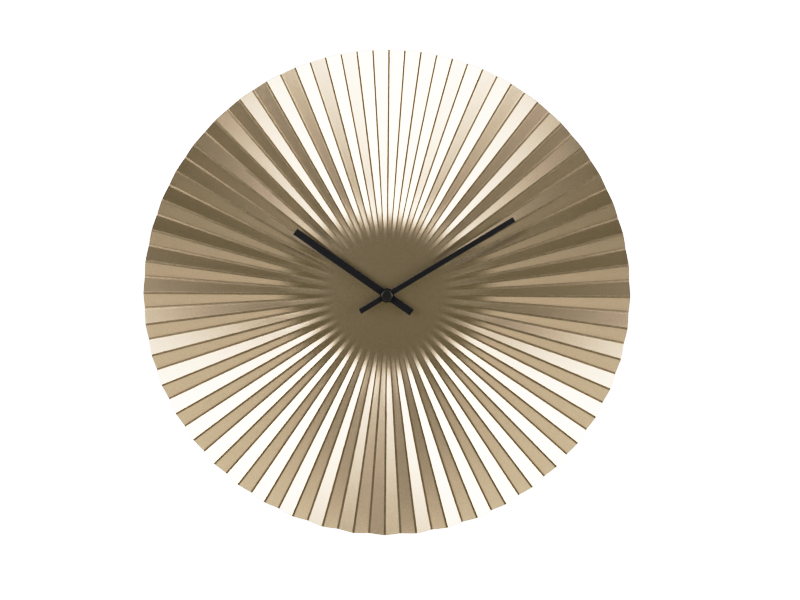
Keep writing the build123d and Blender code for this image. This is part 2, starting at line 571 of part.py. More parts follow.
with BuildPart() as rotor_magnet:
    rod(MAGNET_RADIUS, *MAGNET, ROTOR)
    rod(MAGNET_BORE, *MAGNET, ROTOR, mode=Mode.SUBTRACT)
save(rotor_magnet, "rotor_magnet")

with BuildPart() as rotor_pinion:
    rod(MAGNET_BORE, MAGNET[0], ROTOR_PINION[0], ROTOR)
    gear(ROTOR_LEAVES, ROTOR_MODULE, ROTOR_PHASE, ROTOR_PINION, ROTOR)
    arbor(ROTOR)
save(rotor_pinion, "rotor_pinion")

with BuildPart() as intermediate_wheel:
    gear(INTERMEDIATE_TEETH, ROTOR_MODULE, 0, INTERMEDIATE_WHEEL, INTERMEDIATE)
    gear(INTERMEDIATE_LEAVES, SECONDS_MODULE, INTERMEDIATE_PHASE, INTERMEDIATE_PINION, INTERMEDIATE)
    rod(SLEEVE_RADIUS, INTERMEDIATE_PINION[1], INTERMEDIATE_WHEEL[0], INTERMEDIATE)
    arbor(INTERMEDIATE)
save(intermediate_wheel, "intermediate_wheel")

with BuildPart() as seconds_wheel:
    gear(SECONDS_TEETH, SECONDS_MODULE, 0, SECONDS_WHEEL)
    gear(SECONDS_LEAVES, THIRD_MODULE, 0, (SECONDS_WHEEL[1], SECONDS_PINION_FRONT))
    rod(ARBOR_RADIUS, PIVOT_BACK, SECONDS_WHEEL[0])
    rod(SECONDS_ARBOR_RADIUS, SECONDS_PINION_FRONT, PIVOT_FRONT)
save(seconds_wheel, "seconds_wheel")

with BuildPart() as third_wheel:
    gear(THIRD_TEETH, THIRD_MODULE, THIRD_PHASE, THIRD_WHEEL, THIRD)
    gear(THIRD_LEAVES, CENTRE_MODULE, 0, (THIRD_WHEEL[1], THIRD_PINION_FRONT), THIRD)
    arbor(THIRD)
save(third_wheel, "third_wheel")

with BuildPart() as centre_wheel:
    gear(CENTRE_TEETH, CENTRE_MODULE, CENTRE_PHASE, CENTRE_WHEEL)
    rod(CLUTCH_SEAT_RADIUS + RUNNING, *CENTRE_WHEEL, mode=Mode.SUBTRACT)
save(centre_wheel, "centre_wheel")

with BuildPart() as clutch_spring:
    rod(CLUTCH_SPRING_RADIUS, *CLUTCH_SPRING)
    rod(CLUTCH_SEAT_RADIUS, *CLUTCH_SPRING, mode=Mode.SUBTRACT)
save(clutch_spring, "clutch_spring")

with BuildPart() as cannon_pinion:
    rod(CLUTCH_COLLAR_RADIUS, CANNON_BACK, CENTRE_WHEEL[0] - RUNNING)
    rod(CLUTCH_SEAT_RADIUS, CANNON_BACK, CANNON_PINION[0])
    gear(CANNON_LEAVES, MOTION_MODULE, 0, CANNON_PINION)
    rod(MINUTE_TUBE_RADIUS, CANNON_PINION[1], MINUTE_TUBE_FRONT)
    rod(MINUTE_TUBE_BORE, CANNON_BACK, MINUTE_TUBE_FRONT, mode=Mode.SUBTRACT)
save(cannon_pinion, "cannon_pinion")

with BuildPart() as motion_wheel:
    gear(MOTION_TEETH, MOTION_MODULE, MOTION_PHASE, MOTION_WHEEL, MOTION)
    gear(MOTION_LEAVES, HOUR_MODULE, 0, (MOTION_WHEEL[1], MOTION_PINION_FRONT), MOTION)
    arbor(MOTION)
save(motion_wheel, "motion_wheel")

with BuildPart() as hour_wheel:
    gear(HOUR_TEETH, HOUR_MODULE, HOUR_PHASE, HOUR_WHEEL)
    rod(HOUR_TUBE_RADIUS, HOUR_WHEEL[1], HOUR_TUBE_FRONT)
    rod(HOUR_TUBE_BORE, HOUR_WHEEL[0], HOUR_TUBE_FRONT, mode=Mode.SUBTRACT)
save(hour_wheel, "hour_wheel")

with BuildPart() as setting_knob:
    with BuildSketch(at_depth(KNOB_BACK, SETTING)):
        Circle(KNOB_RADIUS)
        with PolarLocations(KNOB_RADIUS + GRIP_OFFSET, KNOB_GRIPS):
            Circle(GRIP_RADIUS, mode=Mode.SUBTRACT)
    extrude(amount=KNOB_FRONT - KNOB_BACK)
    rod(KNOB_SHAFT_RADIUS, KNOB_FRONT, SETTING_PINION[0], SETTING)
    gear(SETTING_LEAVES, MOTION_MODULE, SETTING_PHASE, SETTING_PINION, SETTING)
    rod(ARBOR_RADIUS, SETTING_PINION[1], PIVOT_FRONT, SETTING)
save(setting_knob, "setting_knob")

# ---------------------------------------------------------------- cell and contacts
with BuildPart() as battery_cell:
    side_rod(CELL_RADIUS - CELL_WRAP, CELL_LEFT, CELL_RIGHT, CELL_HEIGHT, CELL_DEPTH)
    side_rod(CELL_NUB_RADIUS, CELL_RIGHT, CELL_RIGHT + CELL_NUB_LENGTH, CELL_HEIGHT, CELL_DEPTH)
save(battery_cell, "battery_cell")

with BuildPart() as battery_wrap:
    side_rod(CELL_RADIUS, WRAP_LEFT, WRAP_RIGHT, CELL_HEIGHT, CELL_DEPTH)
    side_rod(CELL_RADIUS - CELL_WRAP, WRAP_LEFT, WRAP_RIGHT, CELL_HEIGHT, CELL_DEPTH, mode=Mode.SUBTRACT)
save(battery_wrap, "battery_wrap")

TAB_FRONT = BOARD_BACK + TAB_WIDTH

with BuildPart() as positive_contact:
    block(CONTACT_INNER, CONTACT_OUTER, CONTACT_LOW, CONTACT_HIGH, CONTACT_BACK, CONTACT_FRONT)
    block(CONTACT_INNER, CONTACT_OUTER, CONTACT_HIGH, POSITIVE_TAB_TOP, BOARD_BACK, TAB_FRONT)
    side_rod(BUTTON_RADIUS, CONTACT_TIP, CONTACT_INNER, CELL_HEIGHT, CELL_DEPTH)
save(positive_contact, "positive_contact")

with BuildPart() as negative_contact:
    block(-CONTACT_OUTER, -CONTACT_INNER, CONTACT_LOW, CONTACT_HIGH, CONTACT_BACK, CONTACT_FRONT)
    block(-CONTACT_OUTER, -CONTACT_INNER, CONTACT_HIGH, NEGATIVE_TAB_TOP, BOARD_BACK, TAB_FRONT)
    leaf_low = (-CONTACT_INNER, CELL_HEIGHT - SPRING_HALF_LENGTH)
    leaf_high = (-CONTACT_INNER, CELL_HEIGHT + SPRING_HALF_LENGTH)
    with BuildSketch(at_depth(CELL_DEPTH - SPRING_HALF_WIDTH)):
        with BuildLine():
            ThreePointArc(leaf_low, (-CONTACT_TIP, CELL_HEIGHT), leaf_high)
            Line(leaf_high, leaf_low)
        make_face()
    extrude(amount=2 * SPRING_HALF_WIDTH)
save(negative_contact, "negative_contact")
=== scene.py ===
"""The looks of the sunburst wall clock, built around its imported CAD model. Lengths are in metres."""

import math

import bmesh
import bpy
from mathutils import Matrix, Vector
from mathutils.geometry import tessellate_polygon


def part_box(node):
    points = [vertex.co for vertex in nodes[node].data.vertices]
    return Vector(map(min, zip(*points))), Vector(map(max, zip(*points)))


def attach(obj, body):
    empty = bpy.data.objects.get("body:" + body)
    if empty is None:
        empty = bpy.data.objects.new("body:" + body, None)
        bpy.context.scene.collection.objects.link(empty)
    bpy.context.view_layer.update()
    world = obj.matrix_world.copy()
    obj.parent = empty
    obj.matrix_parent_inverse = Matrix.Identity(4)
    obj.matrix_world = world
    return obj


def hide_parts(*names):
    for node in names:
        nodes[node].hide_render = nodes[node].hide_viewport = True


MM = 0.001
MERGE_DISTANCE, WELD_DISTANCE = 0.002 * MM, 0.001 * MM

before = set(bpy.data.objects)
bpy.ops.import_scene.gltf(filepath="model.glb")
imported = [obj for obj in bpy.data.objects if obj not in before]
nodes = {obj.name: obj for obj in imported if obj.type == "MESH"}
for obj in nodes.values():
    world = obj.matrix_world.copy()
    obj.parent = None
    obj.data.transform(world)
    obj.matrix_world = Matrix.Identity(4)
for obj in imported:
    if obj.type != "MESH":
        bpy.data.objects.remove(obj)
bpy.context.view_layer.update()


# ---------------------------------------------------------------- sizes, from the frame
def depths(node):
    """The depths of a node's back and front. A depth is a distance from the wall towards the viewer."""
    low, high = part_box(node)
    return -high.y, -low.y


def centre_of(node):
    """The middle of a node's box."""
    low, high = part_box(node)
    return (low + high) / 2


def radius_of(node):
    """Half the width of a round node whose axis is along the depth."""
    low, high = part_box(node)
    return (high.x - low.x) / 2


def barrel_radius_of(node):
    """Half the height of a round node whose axis is along X."""
    low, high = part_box(node)
    return (high.z - low.z) / 2


DIAL_RADIUS = radius_of("pleated_dial")
DIAL_BACK, DIAL_FRONT = depths("rubber_washer")[1], depths("brass_washer")[0]
DIAL_THICKNESS = DIAL_FRONT - DIAL_BACK
SHAFT = Vector((0, 0, 0))  # a point on the axis of the hands

# Sizes that a node's box doesn't show.
DIAL_HOLE_RADIUS = 4.1 * MM
BUSHING_RADIUS, BUSHING_BORE, BUSHING_FLANGE = 4.0 * MM, 2.6 * MM, 0.8 * MM  # the last is a thickness
COLLET_LIP = {"hour_hand": 0.5 * MM, "minute_hand": 0.7 * MM}  # from a collet's rim in to its neck
WRAP_THICKNESS = 0.12 * MM  # of the cell's sleeve

# The pressed pleats, with the narrow flat and the small radius that a press leaves at a fold.
PLEATS = 48
DIAL_CLOCKING = math.radians(0.5)
FACET_SLOPE = math.tan(math.radians(27.5))
FOLD_FLAT, FOLD_ROUND = 0.85 * MM, 0.45 * MM  # from a fold's middle: the flat, then the turn into the facet
FOLD_FULL_PITCH = 8 * MM  # a fold has its full size where half a pleat is this wide
PLEAT_START, PLEAT_FULL, PLEAT_EASE = 58 * MM, 118 * MM, 1.5
FOLD_SHADE_FADE_IN = 1.6  # the painted shade along the folds appears this much sooner than the slope

# The hands, from the shaft's axis. Angles run clockwise from twelve.
MINUTE_ANGLE, HOUR_ANGLE = math.radians(59), math.radians(300 + 59 / 12)
MINUTE_REACH, MINUTE_TAIL, MINUTE_WIDTH = 151 * MM, 32 * MM, 5.4 * MM
HOUR_REACH, HOUR_TAIL, HOUR_WIDTH = 114 * MM, 31 * MM, 7.4 * MM
EYE_RADIUS = 7.2 * MM
HAND_EDGE = 0.12 * MM  # rounding of the stamped edges

# The marks on the rear cover. A place is an (x, z).
WELL_TOP = -11.55 * MM  # height of the upper edge of the cell's well
MARK_DEPTH, MARK_LINE = 0.3 * MM, 0.7 * MM
ARROW_RADIUS, ARROW_LINE, ARROW_HEAD = 8.0 * MM, 0.6 * MM, 1.8 * MM
ARROW_START, ARROW_END = 20, 62  # degrees from the top of the knob
POLE_X, POLE_ABOVE_WELL, POLE_SIZE = 22 * MM, 3.4 * MM, 3.2 * MM
DATE_PLACE, DATE_RADIUS, DATE_RIM = (14 * MM, 6 * MM), 2.6 * MM, 0.35 * MM
GRIP_RIBS, GRIP_X, GRIP_LOWEST = 6, 14 * MM, 12 * MM
GRIP_PITCH, GRIP_LENGTH = 1.6 * MM, 16 * MM

# The studio, in metres. Pairs are for the left and the right.
CAMERA_DISTANCE, CAMERA_ELEVATION = 2.1, 4.5  # the elevation is in degrees
SENSOR_WIDTH = 36  # millimetres, as Blender gives lenses
DIAL_WIDTH_IN_FRAME = 0.6085  # of the picture's width
FRAMING_SHIFT = (0.0164, -0.0069)  # the clock hangs a little left of and above the picture's middle
ROOM_COLOUR = (0.078, 0.075, 0.024, 1)
FLOOR_HEIGHT, FLOOR_HALF_WIDTH, FLOOR_BACK = -0.387, 0.62, 0.18
FLOOR_FRONT = (-0.3, -0.255)  # y of the front edge at its two ends
FLOOR_GLOW = (0.16, 0.23)  # painted glow: light that the floor gives off itself, at its two ends
SOFTBOX_TOP, SOFTBOX_OUTER, SOFTBOX_RADIANCE = 0.87, 1.78, 5.64
SOFTBOX_INNER = {-1: 0.51, 1: 0.61}  # distance of the inner edge from the middle
SOFTBOX_LOW = {-1: -0.07, 1: -0.24}
SOFTBOX_Y, SOFTBOX_FOOT_Y = -0.865, {-1: -1.05, 1: -0.93}  # the first is for the tops
FILL_X, FILL_Y, FILL_HEIGHT, FILL_SIZE, FILL_RADIANCE = 0.9, 1.2, 0.6, 0.9, 2.6
WHITE_LEVEL = 3.0
TONE_POINTS = (  # light in the scene, and how brightly it is shown
    (0.15, 0.15), (0.3, 0.3), (0.5, 0.5), (0.73, 0.665),
    (0.91, 0.755), (1.2, 0.85), (1.5, 0.92), (2.0, 0.97),
)

# Colours, as red, green and blue.
LACQUER_DARK, LACQUER_PALE = (0.73, 0.56, 0.41), (0.87, 0.675, 0.495)
LACQUER_CLOUD = (0.84, 0.64, 0.465)
ORANGE_PEEL = 0.028 * MM  # height of the lacquer's ripple
# Painted shade: the dark brown laid along the dial's folds.
FOLD_SHADE_COLOUR = (0.2, 0.14, 0.06)
RIDGE_SHADE, VALLEY_SHADE = 0.85, 0.7  # how strongly painted shade darkens a ridge and a valley
FOLD_DULLNESS = 0.15  # roughness that a fold adds
WRAP_DARK, WRAP_PALE = (0.012, 0.03, 0.075), (0.55, 0.57, 0.58)


# ---------------------------------------------------------------- mesh helpers
def add_piece(name, mesh, body, material, slot, *replaced):
    """Links a finished mesh as a piece that rides on a body and stands for the replaced CAD nodes."""
    mesh.materials.append(material)
    piece = bpy.data.objects.new(name, mesh)
    bpy.context.scene.collection.objects.link(piece)
    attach(piece, body)
    if replaced:
        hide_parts(*replaced)
    return piece


def as_mesh(name, shape):
    """Turns a bmesh into a mesh, and lets go of the bmesh."""
    mesh = bpy.data.meshes.new(name)
    shape.to_mesh(mesh)
    shape.free()
    return mesh


def smooth_faces(shape):
    """Shades all of a bmesh's faces smooth."""
    for face in shape.faces:
        face.smooth = True


def clean_mesh(name, shape, sharp_angle=35):
    """Turns a bmesh into a mesh with merged points, outward normals, and creases at its sharp edges."""
    bmesh.ops.remove_doubles(shape, verts=shape.verts, dist=MERGE_DISTANCE)
    bmesh.ops.dissolve_degenerate(shape, edges=shape.edges, dist=WELD_DISTANCE)
    bmesh.ops.recalc_face_normals(shape, faces=shape.faces)
    smooth_faces(shape)
    for edge in shape.edges:
        edge.smooth = len(edge.link_faces) == 2 and edge.calc_face_angle() < math.radians(sharp_angle)
    return as_mesh(name, shape)


def grid_shape(rings, closed=False):
    """A bmesh skin over closed rings of points. With closed, the last ring also joins the first."""
    shape = bmesh.new()
    rows = [[shape.verts.new(point) for point in ring] for ring in rings]
    following = rows[1:] + rows[:1] if closed else rows[1:]
    for row, next_row in zip(rows, following):
        for column in range(len(row)):
            right = (column + 1) % len(row)
            shape.faces.new((row[column], next_row[column], next_row[right], row[right]))
    return shape


def round_ring(place, along, radius, axis="Y", segments=64):
    """A ring of points round an axis. On Y, the depth axis, along is a depth, and on X it is an x."""
    points = []
    for step in range(segments):
        angle = 2 * math.pi * step / segments
        across, up = radius * math.sin(angle), radius * math.cos(angle)
        if axis == "Y":
            points.append((place.x + across, -along, place.z + up))
        else:
            points.append((along, place.y + across, place.z + up))
    return points


def turned(place, profile, axis="Y", closed=False, segments=64):
    """A bmesh turned on a lathe. The profile is a list of (along, radius)."""
    return grid_shape([round_ring(place, a, r, axis, segments) for a, r in profile], closed)


def rounded_ring_profile(back, front, inner, outer, edge):
    """The profile of a flat ring whose outer corners are rounded."""
    turn = [math.pi / 2 * step / 4 for step in range(5)]
    front_corner = [(front - edge + edge * math.cos(t), outer - edge + edge * math.sin(t)) for t in turn]
    back_corner = [(back + edge - edge * math.sin(t), outer - edge + edge * math.cos(t)) for t in turn]
    return [(back, inner), (front, inner)] + front_corner + back_corner


def add_weld(piece):
    """Joins the doubled points of a piece's faces, which otherwise stand apart."""
    weld = piece.modifiers.new("weld", "WELD")
    weld.merge_threshold = WELD_DISTANCE


def bevel(piece, width, segments=2, angle=40):
    """Rounds a piece's sharp edges with modifiers."""
    add_weld(piece)
    rounding = piece.modifiers.new("rounding", "BEVEL")
    rounding.width = width
    rounding.segments = segments
    rounding.limit_method = "ANGLE"
    rounding.angle_limit = math.radians(angle)
    rounding.harden_normals = True


def baked(piece):
    """A new mesh of a piece as its modifiers leave it."""
    graph = bpy.context.evaluated_depsgraph_get()
    return bpy.data.meshes.new_from_object(piece.evaluated_get(graph))


# ---------------------------------------------------------------- material helpers
def new_material(name, **inputs):
    """A material with one Principled shader. Its sockets are set by name, with underscores for spaces."""
    material = bpy.data.materials.new(name)
    material.use_nodes = True
    shader = material.node_tree.nodes["Principled BSDF"]
    for socket, value in inputs.items():
        shader.inputs[socket.replace("_", " ")].default_value = value
    return material, material.node_tree, shader


def add_node(tree, kind, **settings):
    """A new node, with its input sockets and its own settings given by name."""
    node = tree.nodes.new(kind)
    for key, value in settings.items():
        if key in node.inputs:
            node.inputs[key].default_value = value
        else:
            setattr(node, key, value)
    return node


def place_in_object(tree, stretch=(1, 1, 1)):
    """The object's own coordinates in metres, stretched to draw a texture out along an axis."""
    coordinates = add_node(tree, "ShaderNodeTexCoord")
    mapping = add_node(tree, "ShaderNodeMapping", Scale=stretch)
    tree.links.new(coordinates.outputs["Object"], mapping.inputs["Vector"])
    return mapping.outputs["Vector"]


def noise(tree, scale, detail=2.0, roughness=0.5, stretch=(1, 1, 1)):
    """Noise with that many waves to the metre."""
    texture = add_node(tree, "ShaderNodeTexNoise", Scale=scale, Detail=detail, Roughness=roughness)
    tree.links.new(place_in_object(tree, stretch), texture.inputs["Vector"])
    return texture.outputs["Fac"]


def spread(tree, value, low, high, start=0.3, end=0.7):
    """Maps a value from start..end to low..high."""
    node = add_node(tree, "ShaderNodeMapRange")
    for socket, number in zip(("From Min", "From Max", "To Min", "To Max"), (start, end, low, high)):
        node.inputs[socket].default_value = number
    tree.links.new(value, node.inputs["Value"])
    return node.outputs["Result"]


def mixed(tree, factor, first, second):
    """Two colours mixed by a factor. Each is a colour or another node's output."""
    mix = add_node(tree, "ShaderNodeMix", data_type="RGBA")
    tree.links.new(factor, mix.inputs["Factor"])
    for socket, colour in (("A", first), ("B", second)):
        if isinstance(colour, tuple):
            mix.inputs[socket].default_value = (*colour, 1)
        else:
            tree.links.new(colour, mix.inputs[socket])
    return mix.outputs["Result"]


def bump(tree, shader, height, distance):
    """Adds relief of that height in metres, over any relief that the shader already has."""
    node = add_node(tree, "ShaderNodeBump", Strength=1.0, Distance=distance)
    tree.links.new(height, node.inputs["Height"])
    if shader.inputs["Normal"].is_linked:
        tree.links.new(shader.inputs["Normal"].links[0].from_socket, node.inputs["Normal"])
    tree.links.new(node.outputs["Normal"], shader.inputs["Normal"])


def edge_wear(tree, radius):
    """One along the edges of a piece, inside and outside corners alike, and zero away from them."""
    rounded = add_node(tree, "ShaderNodeBevel", samples=4, Radius=radius)
    surface = add_node(tree, "ShaderNodeNewGeometry")
    likeness = add_node(tree, "ShaderNodeVectorMath", operation="DOT_PRODUCT")
    tree.links.new(rounded.outputs["Normal"], likeness.inputs[0])
    tree.links.new(surface.outputs["Normal"], likeness.inputs[1])
    worn, untouched = 0.86, 0.98  # likeness of the rounded and the real normal
    return spread(tree, likeness.outputs["Value"], 1, 0, worn, untouched)


def mottled(name, dark, light, grain, roughness, relief, stretch=(1, 1, 1), wear=None, **inputs):
    """A finish whose colour and roughness vary with a grain of so many waves to the metre.

    roughness is a lowest and a highest value, relief is the height of its texture, and wear is a colour
    for its edges.
    """
    material, tree, shader = new_material(name, **inputs)
    broad = noise(tree, grain / 8, detail=3.0, stretch=stretch)
    fine = noise(tree, grain, detail=2.0, roughness=0.6, stretch=stretch)
    colour = mixed(tree, spread(tree, broad, 0, 1), dark, light)
    if wear:
        rubbed = add_node(tree, "ShaderNodeMath", operation="MULTIPLY")
        tree.links.new(edge_wear(tree, 0.25 * MM), rubbed.inputs[0])
        tree.links.new(spread(tree, broad, 0, 0.8, 0.4, 0.6), rubbed.inputs[1])
        colour = mixed(tree, rubbed.outputs["Value"], colour, wear)
    tree.links.new(colour, shader.inputs["Base Color"])
    tree.links.new(spread(tree, fine, *roughness), shader.inputs["Roughness"])
    bump(tree, shader, fine, relief)
    return material


# ---------------------------------------------------------------- materials
def gold_paint():
    """Satin metallic gold lacquer with a soft orange peel, duller along the folds and darkened there by
    painted shade.
    """
    material, tree, shader = new_material(
        "gold_paint", Metallic=1.0, Coat_Weight=1.0, Coat_Roughness=0.3, Coat_IOR=1.5
    )
    fleck = noise(tree, 800, detail=1.0)
    cloud = noise(tree, 9, detail=2.0)
    lacquer = mixed(tree, spread(tree, fleck, 0, 1), LACQUER_DARK, LACQUER_PALE)
    lacquer = mixed(tree, spread(tree, cloud, 0, 0.5), lacquer, LACQUER_CLOUD)
    # The fold attribute is where painted shade darkens the lacquer, patchily, and where the finish is duller.
    fold = add_node(tree, "ShaderNodeAttribute", attribute_name="fold").outputs["Fac"]
    patchy_fold_shade = add_node(tree, "ShaderNodeMath", operation="MULTIPLY")
    tree.links.new(fold, patchy_fold_shade.inputs[0])
    tree.links.new(spread(tree, noise(tree, 260, detail=2.0), 0.8, 1.0), patchy_fold_shade.inputs[1])
    tree.links.new(mixed(tree, patchy_fold_shade.outputs["Value"], lacquer, FOLD_SHADE_COLOUR), shader.inputs["Base Color"])
    satin = add_node(tree, "ShaderNodeMath", operation="MULTIPLY_ADD")
    tree.links.new(fold, satin.inputs[0])
    satin.inputs[1].default_value = FOLD_DULLNESS
    tree.links.new(spread(tree, noise(tree, 500), 0.28, 0.33), satin.inputs[2])
    tree.links.new(satin.outputs["Value"], shader.inputs["Roughness"])
    bump(tree, shader, noise(tree, 620, detail=1.5), ORANGE_PEEL)
    return material


def rounded_edges(tree, shader, radius):
    """Softens the look of a CAD node's sharp edges, as a mould or a tumbling barrel does."""
    rounding = add_node(tree, "ShaderNodeBevel", samples=4, Radius=radius)
    tree.links.new(rounding.outputs["Normal"], shader.inputs["Normal"])


def black_paint():
    """Black satin paint on stamped aluminium, with a faint grain and dust in it."""
    return mottled(
        "hand_black", (0.002, 0.002, 0.004), (0.004, 0.004, 0.008), 1600, (0.38, 0.46), 0.006 * MM,
        wear=(0.02, 0.02, 0.023), Specular_IOR_Level=0.3,
    )


def turned_metal(name, dark, light, roughness, axis="Y"):
    """A metal turned on a lathe: rings of fine tool marks, and edges rubbed bright."""
    material, tree, shader = new_material(name, Metallic=1.0)
    wave = add_node(tree, "ShaderNodeTexWave", wave_type="RINGS", Scale=2200, Distortion=1.5, Detail=2)
    wave.rings_direction = axis
    tree.links.new(place_in_object(tree), wave.inputs["Vector"])
    stain = noise(tree, 300, detail=3.0)
    colour = mixed(tree, spread(tree, stain, 0, 1), dark, light)
    bright = tuple(min(1.0, part * 1.15) for part in light)
    tree.links.new(mixed(tree, edge_wear(tree, 0.15 * MM), colour, bright), shader.inputs["Base Color"])
    tree.links.new(spread(tree, stain, *roughness), shader.inputs["Roughness"])
    rounded_edges(tree, shader, 0.08 * MM)
    bump(tree, shader, wave.outputs["Fac"], 0.004 * MM)
    return material


def zinc_plate():
    """Galvanised sheet: flat crystals a few millimetres wide, each a little lighter or darker."""
    material, tree, shader = new_material("zinc_plate", Metallic=1.0)
    crystals = add_node(tree, "ShaderNodeTexVoronoi", Scale=620, Randomness=1.0)
    tree.links.new(place_in_object(tree), crystals.inputs["Vector"])
    shade = add_node(tree, "ShaderNodeSeparateColor")
    tree.links.new(crystals.outputs["Color"], shade.inputs["Color"])
    colour = mixed(tree, shade.outputs["Red"], (0.56, 0.57, 0.585), (0.64, 0.65, 0.66))
    dull = spread(tree, noise(tree, 120, detail=4.0), 0, 0.6)
    tree.links.new(mixed(tree, dull, colour, (0.42, 0.43, 0.43)), shader.inputs["Base Color"])
    tree.links.new(spread(tree, shade.outputs["Green"], 0.28, 0.48, 0, 1), shader.inputs["Roughness"])
    rounded_edges(tree, shader, 0.2 * MM)
    bump(tree, shader, noise(tree, 900, detail=3.0), 0.01 * MM)
    return material


def moulded_plastic(name, dark, light, grain, roughness, relief, edge=0.15 * MM, **inputs):
    """A moulded plastic: its texture, faint flow marks in its colour, and paler rubbed edges."""
    material, tree, shader = new_material(name, **inputs)
    flow = noise(tree, 45, detail=3.0, stretch=(1, 1, 3))
    pits = noise(tree, grain, detail=3.0, roughness=0.7)
    colour = mixed(tree, spread(tree, flow, 0, 1), dark, light)
    paler = tuple(part * 0.7 + 0.06 for part in light)
    rubbed = add_node(tree, "ShaderNodeMath", operation="MULTIPLY")
    tree.links.new(edge_wear(tree, edge), rubbed.inputs[0])
    tree.links.new(spread(tree, flow, 0.1, 0.6), rubbed.inputs[1])
    colour = mixed(tree, rubbed.outputs["Value"], colour, paler)
    tree.links.new(colour, shader.inputs["Base Color"])
    tree.links.new(spread(tree, pits, *roughness), shader.inputs["Roughness"])
    rounded_edges(tree, shader, edge)
    bump(tree, shader, pits, relief)
    return material


def rolled_steel(name, dark, light, roughness, along, edge=0.08 * MM):
    """Bright rolled strip, with fine scratches along one axis and fingermarks."""
    material, tree, shader = new_material(name, Metallic=1.0)
    scratch = noise(tree, 2400, detail=2.0, stretch=tuple(0.03 if axis == along else 1 for axis in "XYZ"))
    smear = noise(tree, 90, detail=4.0)
    colour = mixed(tree, spread(tree, smear, 0, 1), dark, light)
    tree.links.new(colour, shader.inputs["Base Color"])
    tree.links.new(spread(tree, scratch, *roughness), shader.inputs["Roughness"])
    rounded_edges(tree, shader, edge)
    bump(tree, shader, scratch, 0.003 * MM)
    return material


def circuit_lacquer():
    """Green solder mask over copper tracks, which show as slightly raised and paler bands."""
    material, tree, shader = new_material("circuit_lacquer", Coat_Weight=0.4, Coat_Roughness=0.15)
    tracks = add_node(tree, "ShaderNodeTexBrick", Scale=1.0, offset=0.37, squash=1.6, squash_frequency=3)
    for socket, number in (("Mortar Size", 0.35 * MM), ("Brick Width", 7 * MM), ("Row Height", 2.3 * MM)):
        tracks.inputs[socket].default_value = number
    place = add_node(tree, "ShaderNodeMapping")
    place.inputs["Rotation"].default_value = (math.pi / 2, 0, 0)
    tree.links.new(place_in_object(tree), place.inputs["Vector"])
    tree.links.new(place.outputs["Vector"], tracks.inputs["Vector"])
    weave = noise(tree, 1500, detail=2.0)
    ground = mixed(tree, spread(tree, weave, 0, 1), (0.006, 0.055, 0.02), (0.01, 0.075, 0.028))
    tree.links.new(
        mixed(tree, tracks.outputs["Fac"], ground, (0.03, 0.17, 0.06)), shader.inputs["Base Color"]
    )
    tree.links.new(spread(tree, weave, 0.25, 0.35), shader.inputs["Roughness"])
    bump(tree, shader, weave, 0.01 * MM)
    bump(tree, shader, tracks.outputs["Fac"], 0.035 * MM)
    return material


def shrink_wrap():
    """A plain printed plastic sleeve: a dark body, a thin pale line, a pale shoulder and a dark end."""
    material, tree, shader = new_material("shrink_wrap", Coat_Weight=0.6, Coat_Roughness=0.12)
    low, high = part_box("battery_wrap")
    position = add_node(tree, "ShaderNodeSeparateXYZ")
    tree.links.new(place_in_object(tree), position.inputs["Vector"])
    bands = add_node(tree, "ShaderNodeValToRGB")
    ramp = bands.color_ramp
    ramp.interpolation = "CONSTANT"
    span = high.x - low.x
    stops = (  # where each band starts, as a share of the length
        (0, WRAP_DARK),
        (1 - 14.2 * MM / span, WRAP_PALE),
        (1 - 13.4 * MM / span, WRAP_DARK),
        (1 - 13 * MM / span, WRAP_PALE),
        (0.975, WRAP_DARK),
    )
    ramp.elements[0].position, ramp.elements[0].color = stops[0][0], (*stops[0][1], 1)
    ramp.elements[1].position, ramp.elements[1].color = stops[-1][0], (*stops[-1][1], 1)
    for position_along, colour in stops[1:-1]:
        ramp.elements.new(position_along).color = (*colour, 1)
    tree.links.new(spread(tree, position.outputs["X"], 0, 1, low.x, high.x), bands.inputs["Fac"])
    scuff = noise(tree, 700, detail=4.0, roughness=0.7, stretch=(0.2, 1, 1))
    tree.links.new(
        mixed(tree, spread(tree, scuff, 0, 0.25, 0.55, 0.8), bands.outputs["Color"], (0.35, 0.35, 0.36)),
        shader.inputs["Base Color"],
    )
    tree.links.new(spread(tree, scuff, 0.2, 0.34), shader.inputs["Roughness"])
    bump(tree, shader, noise(tree, 160, detail=2.0), 0.03 * MM)
    return material


# ---------------------------------------------------------------- pleated dial
def pleat_rise(radius):
    """The share of their full slope that the facets have at a radius. They rise quickly, then ease."""
    formed = min(1.0, max(0.0, (radius - PLEAT_START) / (PLEAT_FULL - PLEAT_START)))
    return 1 - (1 - formed) ** PLEAT_EASE


def fold_size(half_pitch):
    """Half the flat at a fold, and the turn beside it. Both shrink where the pleats are narrow."""
    share = min(1.0, half_pitch / FOLD_FULL_PITCH)
    return FOLD_FLAT * share, FOLD_ROUND * share


def fold_stations(half_pitch):
    """Distances across one facet, from its ridge to its valley, close together at the folds."""
    flat, turn = fold_size(half_pitch)
    near = [0, flat, flat + turn / 3, flat + turn * 2 / 3, flat + turn, flat + turn * 1.5]
    return near + [half_pitch / 2] + [half_pitch - across for across in near[::-1]]


def fold_height(across, half_pitch, slope):
    """Height above the middle plane of the folded sheet, at a distance across from a ridge."""
    flat, turn = fold_size(half_pitch)
    top = slope * (half_pitch - 2 * flat - turn) / 2
    if across > half_pitch / 2:
        return -fold_height(half_pitch - across, half_pitch, slope)
    if across < flat:
        return top
    if across < flat + turn:
        return top - slope * (across - flat) ** 2 / (2 * turn)
    return slope * (half_pitch / 2 - across)


def fold_shade_strength(across, half_pitch):
    """How strongly painted shade darkens a fold: most on a ridge, less in a valley, not at all between."""
    flat, turn = fold_size(half_pitch)
    strength = RIDGE_SHADE if across < half_pitch / 2 else VALLEY_SHADE
    distance = min(across, half_pitch - across)
    return strength if distance < flat + turn * 0.5 else 0.0


